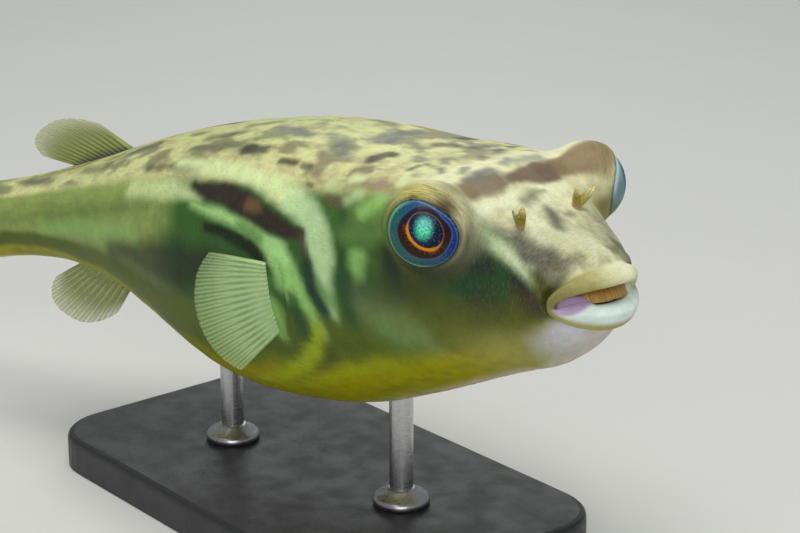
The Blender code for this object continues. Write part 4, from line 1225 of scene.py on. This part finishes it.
def floor_material():
    """Pale matt studio floor with a faint unevenness."""
    made, nodes, shader = new_material("studio_floor", 0.7, Specular_IOR_Level=0.25)
    add_grain(nodes, shader, (0.72, 0.72, 0.70, 1), nodes.place(), 0.05, 0.06)
    return made


# ---------------------------------------------------------------- pieces

def make_skin(material):
    """One closed skin over the head, trunk, tail and lips, painted at every point."""
    skin = Skin()
    tail_end = (-STANDARD_LENGTH - TAIL_CAP_REACH, 0.0, 0.0)
    poles = raise_brows(bend_body([tail_end, (-MOUTH_DEPTH, 0.0, MOUTH_MIDDLE)]))
    points, faces = tube(skin.points, *poles)
    soft = fade(skin.past_fold, -2.0, 0.5)
    streaky = fade(skin.station, 34, 16) * fade(skin.turn, 125, 100) * (1 - 0.55 * soft)
    wrinkled = np.zeros(soft.shape)
    round_eye = np.zeros(skin.points.shape)
    for _, side in SIDES:
        distance, past, turn = about_eye(skin.points, side)
        turn = np.radians(turn)
        near = fade(distance, BROW_RADIUS + 5, BROW_RADIUS + 1.5)
        over = 0.25 + 0.75 * fade(np.sin(turn), -0.1, 0.6)
        strength = 1.0 if side < 0 else 0.4
        wrinkled = np.maximum(wrinkled, strength * near * over * fade(past, 62, 18))
        rings = np.stack([np.radians(past) * BROW_RADIUS * 5.0, 2.6 * np.cos(turn), 2.6 * np.sin(turn)], -1)
        round_eye = np.where((near > 0)[..., None], rings, round_eye)

    def with_poles(values):
        ends = values[[0, -1]].mean(axis=1)
        return np.concatenate([values.reshape(-1, *values.shape[2:]), ends])

    make_piece("skin", "skin", ("head", "trunk", "tail", "upper_lip", "lower_lip"),
               in_frame(points), faces, material,
               tint=with_poles(skin_tint(skin)), flat=with_poles(skin.flat * MM),
               round_eye=with_poles(round_eye), streaky=with_poles(streaky),
               rough=with_poles((1 - soft) * (0.3 + 0.7 * fade(skin.station, 30, 75))),
               wrinkled=with_poles(wrinkled))


PUPIL_NAVY = paint(4, 12, 42)
PUPIL_BLUE = paint(8, 46, 88)
# Painted sheen and painted reflection on the pupil.
PUPIL_GREEN_SHEEN = paint(104, 255, 190)
PUPIL_STEEL_REFLECTION = paint(120, 206, 216)
IRIS_PINK = paint(146, 92, 72)
IRIS_GOLD = paint(226, 140, 24)
IRIS_BROWN = paint(46, 22, 12)
IRIS_PURPLE = paint(34, 26, 50)
IRIS_BLUE = paint(14, 56, 146)
IRIS_STEEL = paint(26, 66, 124)
IRIS_TEAL = paint(32, 98, 96)
IRIS_GREY = paint(58, 90, 104)
IRIS_LINE = paint(126, 140, 172)
IRIS_RIM = paint(122, 182, 136)
# Painted reflection on the left eye, seen at a grazing angle.
IRIS_MARGIN_REFLECTION = paint(152, 186, 196)
IRIS_PALE_REFLECTION = paint(218, 236, 240)
IRIS_HAZE_REFLECTION = paint(122, 154, 152)
IRIS_OLIVE_REFLECTION = paint(98, 116, 62)
# Painted shade at the opening's edge.
IRIS_EDGE_SHADE = paint(22, 26, 20)


def iris_tint(x, y, from_edge, far_eye):
    """Iris colours at x mm forward and y mm up from the pupil's middle, and their glitter.

    Rings run outwards: a navy pupil drawn out down and forward with a painted green sheen
    and a painted pale reflection above, a thin orange ring that flares below, a brown ring
    that is narrow above its front, and a blue ring that is steel above and teal behind. A
    pale rim lies along the lower rear edge of the opening, which is from_edge degrees away,
    and a thin light line along the rest, with painted shade right at the edge. The left
    eye, which looks back, is paled over its rear by a painted reflection, pale blue above
    and olive below.
    """
    lean = radians(-43)
    along = x * cos(lean) + y * sin(lean)
    across = y * cos(lean) - x * sin(lean)
    pupil = np.hypot(along / 1.16, across / 0.94)
    radius = np.hypot(x, y)
    angle = np.arctan2(y, x)
    circle = np.stack([np.cos(angle) * 3, np.sin(angle) * 3, 0 * angle], -1)
    wander = rough_noise(circle, 1.0, 4.0) - 0.5
    flame = fade(rough_noise(np.stack([angle * 11, radius * 0.7, 0 * x], -1), 1.0, 8.0), 0.4, 0.8)
    below = fade(np.sin(angle + 0.5), 0.2, -0.75)
    above = fade(np.sin(angle), 0.2, 0.95)
    front = (0.3 if far_eye else 1.0) * fade(np.cos(angle + 0.2), -0.1, 0.9)
    rear_low = fade(np.cos(angle - radians(205)), 0.0, 0.6)
    orange_out = 3.3 + 0.56 * below + 0.16 * wander * (0.3 + below)
    front_up = hill(angle, radians(42), radians(38))
    brown_out = 5.4 + 0.7 * below - 0.45 * above - 1.1 * front_up + 0.3 * wander
    orange = lay(IRIS_PINK, (IRIS_GOLD, below))
    brown = lay(IRIS_PURPLE, (IRIS_BROWN, fade(np.sin(angle), 0.45, -0.15)))
    blue = lay(IRIS_TEAL, (IRIS_BLUE, front), (IRIS_STEEL, 0.8 * above),
               (IRIS_GREY, 0.75 * fade(np.sin(angle), -0.55, -0.95)))
    tint = lay(
        PUPIL_NAVY,
        (PUPIL_BLUE, fade(np.hypot(x + 0.6, y + 0.1), 3.2, 1.3)),
        # Painted sheen on the pupil and a painted pale reflection above it.
        (PUPIL_GREEN_SHEEN, 0.9 * fade(np.hypot((x + 0.4) * 1.1, (y - 0.3) * 0.85), 2.4, 0.5)),
        (PUPIL_STEEL_REFLECTION, 0.75 * hill(np.hypot(x + 0.4, y - 1.4), 0, 1.2)),
        (orange, fade(pupil, 3.12, 3.26)),
        (brown, fade(pupil, orange_out - 0.14, orange_out + 0.2)),
        (IRIS_GOLD * 0.45, 0.6 * below * flame * fade(pupil, 3.7, 4.0) * fade(pupil, 5.0, 4.0)),
        (blue, fade(radius, brown_out - 0.45, brown_out + 0.45)),
        (IRIS_LINE, 0.55 * (0.3 + 0.7 * front) * hill(radius, brown_out + 0.05, 0.1)),
        (IRIS_RIM, 0.9 * rear_low * fade(from_edge, 8.5, 3.0)),
        (IRIS_LINE, 0.55 * (1 - rear_low) * hill(from_edge, 2.6, 1.2)))
    # margin is a painted reflection over the left eye's rear, pale blue above and olive below.
    if far_eye:
        margin = lay(IRIS_HAZE_REFLECTION, (IRIS_MARGIN_REFLECTION, fade(y, 0.0, 5.0)), (IRIS_OLIVE_REFLECTION, fade(y, -2.0, -6.0)))
        tint = lay(
            tint,
            (margin, 0.9 * fade(radius, 5.6, 7.4)),
            (IRIS_PALE_REFLECTION, 0.75 * fade(from_edge, 13.0, 2.0) * fade(y, -3.0, 2.0)))
    # Painted shade where the skin's edge meets the ball.
    tint = lay(tint, (IRIS_EDGE_SHADE, 0.7 * fade(from_edge, 1.5, 0.2)))
    # glitter is the share of painted glints and of dark flecks.
    glitter = fade(pupil, 3.2, 3.0) * (0.45 + 0.55 * fade(np.hypot(x + 0.6, y), 3.2, 1.2))
    if not far_eye:
        glitter = glitter + 0.4 * fade(radius, brown_out, brown_out + 0.4)
    return tint, glitter


def make_eye(end, side, material):
    """A ball drawn in rings round its axis, deep enough to seat in the socket.

    Its iris is centred on a gaze a little off the axis and laid out flat about it: the
    distance over the ball from the gaze, in the gaze's forward and upward directions.
    """
    centre, axis, forward, up = eye_basis(side)
    angle = np.linspace(0, EYE_BALL_REACH, EYE_RINGS)[1:, None, None]
    turn = np.arange(EYE_COLUMNS)[:, None] * 2 * pi / EYE_COLUMNS
    across = np.cos(turn) * forward + np.sin(turn) * up
    rows = centre + EYE_BALL_RADIUS * (np.cos(angle) * axis + np.sin(angle) * across)
    points, faces = tube(rows, start_pole=centre + EYE_BALL_RADIUS * axis)
    gaze = unit(axis + EYE_GAZE[side][0] * forward + EYE_GAZE[side][1] * up)
    gaze_forward = unit(forward - (forward @ gaze) * gaze)
    gaze_up = np.cross(gaze_forward, gaze) * side
    direction = unit(points - centre)
    over_ball = EYE_BALL_RADIUS * np.arccos(np.clip(direction @ gaze, -1, 1))[:, None]
    flat = over_ball * unit(np.stack([direction @ gaze_forward, direction @ gaze_up], -1))
    past = about_eye(points, side)[1]
    tint, glitter = iris_tint(*flat.T, -past, side > 0)
    make_piece("ball_" + end, "eye", ("eye_" + end,), in_frame(points), faces, material,
               tint=tint, glitter=glitter, eye_local=np.c_[flat, 0 * past] * MM)


BEAK_EDGE = paint(206, 166, 90)
BEAK_BROWN = paint(152, 96, 46)


def make_beak(which, up, material):
    """A tooth plate bent round the jaw, with a rounded biting edge and a notch in its middle.

    The outer and inner walls are arcs; their centre runs forward from the root, inside the
    jaw, to the biting edge behind the lips. The plate thins to its edge and widens to it.
    """
    turn, rise = np.meshgrid(np.linspace(-BEAK_ARC, BEAK_ARC, 97), np.linspace(0, 1, 17))
    past_bite, root, reach = (-0.3, 3.0, 2.6) if up > 0 else (0.7, 1.6, 0.78)
    bite = BEAK_BITE + up * (past_bite + 0.25 * hill(turn, 0, 0.05))
    height = bite + (BEAK_BITE + up * root - bite) * rise
    half_wall = 0.5 * (0.35 + 0.65 * fade(rise, 0.0, 0.35))
    forward = reach * (1 - rise) ** 1.5
    walls = []
    for sign in (1, -1):
        radius = sign * half_wall - 0.5
        x = BEAK_CENTRE_X + forward + (BEAK_DEPTH + radius) * np.cos(turn)
        y = (BEAK_HALF_WIDTH + 1.2 * (1 - rise) + radius) * np.sin(turn)
        walls.append(bend_body(np.stack([x, y, height], -1)))
    points, faces = sheet_between(*walls)
    tint = lay(BEAK_EDGE, (BEAK_BROWN, fade(rise, 0.05, 0.75)))
    local = np.stack([turn * 6.0, height, 0 * turn], -1) * MM
    make_piece("plate_" + which, "beak", ("beak_" + which,), in_frame(points), faces, material,
               tint=[tint, tint], plate=[local, local])


FIN_YELLOW = paint(188, 194, 112)
FIN_OLIVE = paint(146, 158, 84)
FIN_BASE = paint(168, 196, 132)
FIN_PALE = paint(176, 206, 146)


def rounded_lengths(count, shortest, longest, squareness=2.5):
    """Ray lengths of a fan with a rounded margin."""
    q = np.linspace(-1, 1, count)
    return shortest + (longest - shortest) * (1 - np.abs(q) ** squareness)[:, None]


def make_fin(name, node, root, reach, curl, thick_root, rays, steps, paints, material):
    """A closed fin from the feet and the reaches of its columns, painted by its foot, rays and web.

    Each column runs from its foot along its reach, bent out of the plane by curl times the
    square of the way along. Rays are ridges across the columns that fork half way out.
    """
    q, along = np.meshgrid(np.linspace(0, 1, len(root)), np.linspace(0, 1, steps), indexing="ij")
    across = unit(np.gradient(root + 0.5 * reach, axis=0))
    normal = unit(np.cross(reach, across))[:, None]
    phase = 2 * pi * rays * (q - 0.5 / rays)
    ray = 0.5 + 0.5 * np.cos(phase)
    forked = 0.5 - 0.5 * np.cos(2 * phase)
    fork = fade(along, 0.42, 0.72)
    ridge = ray * (1 - fork) + np.maximum(0.85 * forked, 0.25 * ray) * fork
    length = along * (1 - 0.012 * (1 - ray) * along**3)
    middle = root[:, None] + length[..., None] * reach[:, None] + (curl * along**2)[..., None] * normal
    ends = fade(q, 0.0, 0.03) * fade(q, 1.0, 0.97)
    half = 0.5 * (thick_root + (0.5 - thick_root) * along**0.6)
    half = half * (0.6 + 0.4 * ridge) * (0.3 + 0.7 * ends) * (1 - 0.5 * fade(along, 0.93, 1.0))
    half = half[..., None] * normal
    points, faces = sheet_between(middle + half, middle - half)
    web = ((1 - ridge) * fade(along, 0.1, 0.4) + 0.8 * fade(along, 0.55, 1.0)) / 1.8
    local = np.stack([along * np.linalg.norm(reach, axis=1)[:, None], q * len(root) * 0.3, 0 * web], -1)
    foot_paint, ray_paint, web_paint = paints
    tint = lay(ray_paint, (web_paint, fade(web, 0.2, 0.8)), (foot_paint, fade(along, 0.28, 0.05)))
    make_piece(name, "fin", (node,), in_frame(points), faces, material,
               tint=[tint, tint], web=[web, web], fin_local=[local * MM, local * MM])


def make_median_fin(name, node, stations, around, height, leans, rays, material):
    """The dorsal fin at around 0 or the anal fin at half a turn, leaning back."""
    count = rays * 8 + 1
    root = body_spots(np.linspace(*stations, count), around, -0.9)
    forward, _, up = local_axes(sum(stations) / 2)
    out = up if around == 0 else -up
    lean = np.radians(np.linspace(*leans, count))[:, None]
    lengths = rounded_lengths(count, 0.55 * height, height) + 1.2
    reach = lengths * (np.cos(lean) * out - np.sin(lean) * forward)
    paints = (MOTTLE if around == 0 else FIN_BASE, FIN_OLIVE, FIN_YELLOW)
    make_fin(name, node, root, reach, 0.0, 2.4, rays, 49, paints, material)


def make_caudal_fin(material):
    """A fan on the end of the tail, its margin rounded."""
    count = CAUDAL_RAYS * 10 + 1
    end = station_rings(STANDARD_LENGTH)[0]
    heights = np.linspace(end[5] - 1.4, 1.4 - end[6], count)
    root = bend_body(np.stack([0 * heights - STANDARD_LENGTH + 2.0, 0 * heights, heights], 1))
    forward, _, up = local_axes(STANDARD_LENGTH)
    spread = np.radians(np.linspace(CAUDAL_SPREAD, -CAUDAL_SPREAD, count))[:, None]
    lengths = rounded_lengths(count, 0.84 * CAUDAL_LENGTH, CAUDAL_LENGTH, 2.0) + 2.3
    reach = lengths * (np.sin(spread) * up - np.cos(spread) * forward)
    paints = (FIN_BASE, FIN_OLIVE, FIN_YELLOW)
    make_fin("fin_caudal", "caudal_fin", root, reach, 3.0, 3.2, CAUDAL_RAYS, 81, paints, material)


def make_pectoral_fin(end, side, material):
    """A broad rounded fan behind the gill opening, laid back along the flank."""
    count = PECTORAL_RAYS * 8 + 1
    angles = np.linspace(*PECTORAL_ROOT, count) * -side
    root = body_spots(PECTORAL_STATION + 1.0, angles, 0.1)
    forward, left, up = local_axes(PECTORAL_STATION)
    back = -cos(PECTORAL_FLARE) * forward + sin(PECTORAL_FLARE) * side * left
    spread = np.radians(np.linspace(*PECTORAL_SPREAD, count))[:, None]
    lengths = rounded_lengths(count, *PECTORAL_LENGTHS, 2.0) + 0.6
    reach = lengths * (np.sin(spread) * up + np.cos(spread) * back)
    paints = (FIN_PALE, FIN_PALE, FIN_BASE)
    make_fin("fin_pectoral_" + end, "pectoral_" + end, root, reach, -1.5 * side, 1.9,
             PECTORAL_RAYS, 45, paints, material)


def snout_spot(side):
    """The foot of a nostril's tentacle and the outward direction there."""
    station, out = NOSTRIL_SPOTS[side]
    ring = station_rings(station)[0]
    around = np.linspace(0, pi / 2, 400) * -side
    points = ring_points(ring, around)[0]
    k = int(np.argmin(np.abs(points[:, 1] - side * out)))
    outward = np.array([0.25, points[k, 1] / ring[3] ** 2, (points[k, 2] - ring[4]) / ring[5] ** 2])
    outward[0] *= np.linalg.norm(outward[1:])
    return raise_brows(bend_body(points[k])), unit(outward)


LOBE_FOOT = paint(196, 158, 138)
LOBE_OLIVE = paint(158, 142, 54)
LOBE_TIP = paint(224, 214, 150)


def make_nostril(end, side, material):
    """Two flattened lobes that part from one short stalk, their tips rounded and bent.

    Each lobe is an ellipse carried along a line that bows outwards with the power 1.4 of
    the way up; its width swells a little past the stalk and closes at the tip.
    """
    foot, outward = snout_spot(side)
    across = unit(np.cross(outward, (1.0, 0.0, 0.0)))
    lean_back = unit(np.cross(across, outward))
    turns = np.linspace(0, 2 * pi, NOSTRIL_COLUMNS, endpoint=False)
    turn, way = np.meshgrid(turns, np.linspace(0, 1, NOSTRIL_ROWS))
    closing = np.sqrt(np.clip(1 - way**5, 0.0004, 1))
    wide = (0.74 + 0.34 * np.sin(pi * way**0.8)) * closing * np.cos(turn)
    thin = (0.62 - 0.3 * way) * closing * np.sin(turn) + 0.1 * np.sin(pi * way) * np.cos(2 * turn)
    shade = np.r_[way.ravel(), 0.0, 1.0]
    tint = lay(LOBE_FOOT, (LOBE_OLIVE, fade(shade, 0.1, 0.32)), (LOBE_TIP, fade(shade, 0.55, 0.95)))
    all_points, all_faces = [], []
    for number, (bow, height) in enumerate(NOSTRIL_LOBES[side]):
        rows = (foot + (way * height - NOSTRIL_SINK)[..., None] * outward + wide[..., None] * lean_back
                + (bow * way**1.4 + thin)[..., None] * across)
        points, faces = tube(rows)
        all_points.append(points)
        all_faces += [corners + number * len(points) for corners in faces]
    make_piece("tentacle_" + end, "tentacle", ("nostril_" + end,), in_frame(all_points), all_faces,
               material, tint=[tint, tint])


def dress_stand(base, rod):
    """Gives the base and rods their finish, and turns a collar round the foot of each rod."""
    for node, material in (("stand_base", base), ("stand_rod_front", rod), ("stand_rod_rear", rod)):
        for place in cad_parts[node].material_slots:
            place.material = material
    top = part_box("stand_base")[1].z
    turn = np.arange(COLLAR_COLUMNS) * 2 * pi / COLLAR_COLUMNS
    for end in ("front", "rear"):
        low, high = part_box("stand_rod_" + end)
        centre = (low + high) / 2
        radius = (high.x - low.x) / 2
        out, height = np.transpose(COLLAR_PROFILE) * MM
        out = np.r_[0.9 * radius, radius + out, 0.9 * radius][:, None]
        height = top + height[[0, *range(len(height)), -1], None] + 0 * turn
        rows = np.stack([centre.x + out * np.cos(turn), centre.y + out * np.sin(turn), height], -1)
        make_piece("stand_collar_" + end, "rod", (), *tube(rows), rod)


def make_floor(material):
    """A wide pale floor just under the stand, its far edge curved up a little."""
    side = np.linspace(-FLOOR_REACH, FLOOR_REACH, FLOOR_STEPS)
    across, along = np.meshgrid(side, side, indexing="ij")
    height = 0.25 * np.clip(np.hypot(across, along) - FLOOR_FLAT, 0, None) ** 2 - FLOOR_DROP
    points = np.stack([across, along, height], -1).reshape(-1, 3)
    faces = grid_faces(FLOOR_STEPS, FLOOR_STEPS, False)[:, ::-1].tolist()
    floor = smooth_object("floor", points, faces, material)


# ---------------------------------------------------------------- light and camera

# What the lights aim at.
FISH_MIDDLE = Vector((0.0, 0.0, 0.05))


def add_area_light(name, place, size, power, colour):
    """A rectangular light aimed at the middle of the fish."""
    data = bpy.data.lights.new(name, "AREA")
    data.shape = "RECTANGLE"
    data.size, data.size_y = size
    data.energy = power
    data.color = colour
    light = link_object(name, data)
    light.location = place
    light.rotation_euler = (FISH_MIDDLE - Vector(place)).to_track_quat("-Z", "Y").to_euler()


def light_scene():
    """A wide soft light overhead, a soft one from the camera's side, and a pale surround."""
    world = bpy.data.worlds.new("surround")
    world.use_nodes = True
    background = world.node_tree.nodes["Background"].inputs
    background["Color"].default_value = (0.9, 0.95, 1.0, 1)
    background["Strength"].default_value = 0.24
    bpy.context.scene.world = world
    add_area_light("overhead", (0.10, -0.10, 0.95), (0.7, 0.7), 6.4, (1.0, 0.99, 0.94))
    add_area_light("front_fill", (0.75, -0.62, 0.42), (0.6, 0.5), 2.6, (1.0, 1.0, 1.0))
    add_area_light("rim", (-0.6, 0.6, 0.5), (0.5, 0.4), 1.0, (0.95, 1.0, 0.95))


def place_camera():
    """Looks at the fish from its front right and a little above.

    The spot between the eyes stands right of and above the middle of the view by its offset
    in mm, so the camera needs no shift.
    """
    azimuth, elevation = CAMERA_AZIMUTH, CAMERA_ELEVATION
    back = np.array([sin(azimuth) * cos(elevation), -cos(azimuth) * cos(elevation), sin(elevation)])
    right = np.array([cos(azimuth), sin(azimuth), 0.0])
    up = np.cross(back, right)
    across, over = BETWEEN_EYES_OFFSET
    spot = np.array(BETWEEN_EYES) + back * CAMERA_DISTANCE - right * across - up * over
    turn = Matrix(np.stack([right, up, back], 1).tolist())
    data = bpy.data.cameras.new("camera")
    data.sensor_width = SENSOR_WIDTH
    data.lens = SENSOR_WIDTH / 2 / tan(CAMERA_VIEW / 2)
    data.clip_start = 0.01
    data.clip_end = 50.0
    camera = link_object("camera", data)
    camera.matrix_world = Matrix.LocRotScale(Vector(spot * MM + PLACEMENT), turn, None)
    bpy.context.scene.camera = camera


def main():
    place_camera()
    light_scene()
    make_floor(floor_material())
    make_skin(skin_material())
    glass, beak, tentacle, fin = eye_material(), beak_material(), tentacle_material(), fin_material()
    for end, side in SIDES:
        make_eye(end, side, glass)
        make_nostril(end, side, tentacle)
        make_pectoral_fin(end, side, fin)
    make_beak("upper", 1, beak)
    make_beak("lower", -1, beak)
    for fin_values in MEDIAN_FINS:
        make_median_fin(*fin_values, fin)
    make_caudal_fin(fin)
    dress_stand(base_material(), rod_material())
    bpy.context.scene.view_settings.view_transform = "Standard"


main()
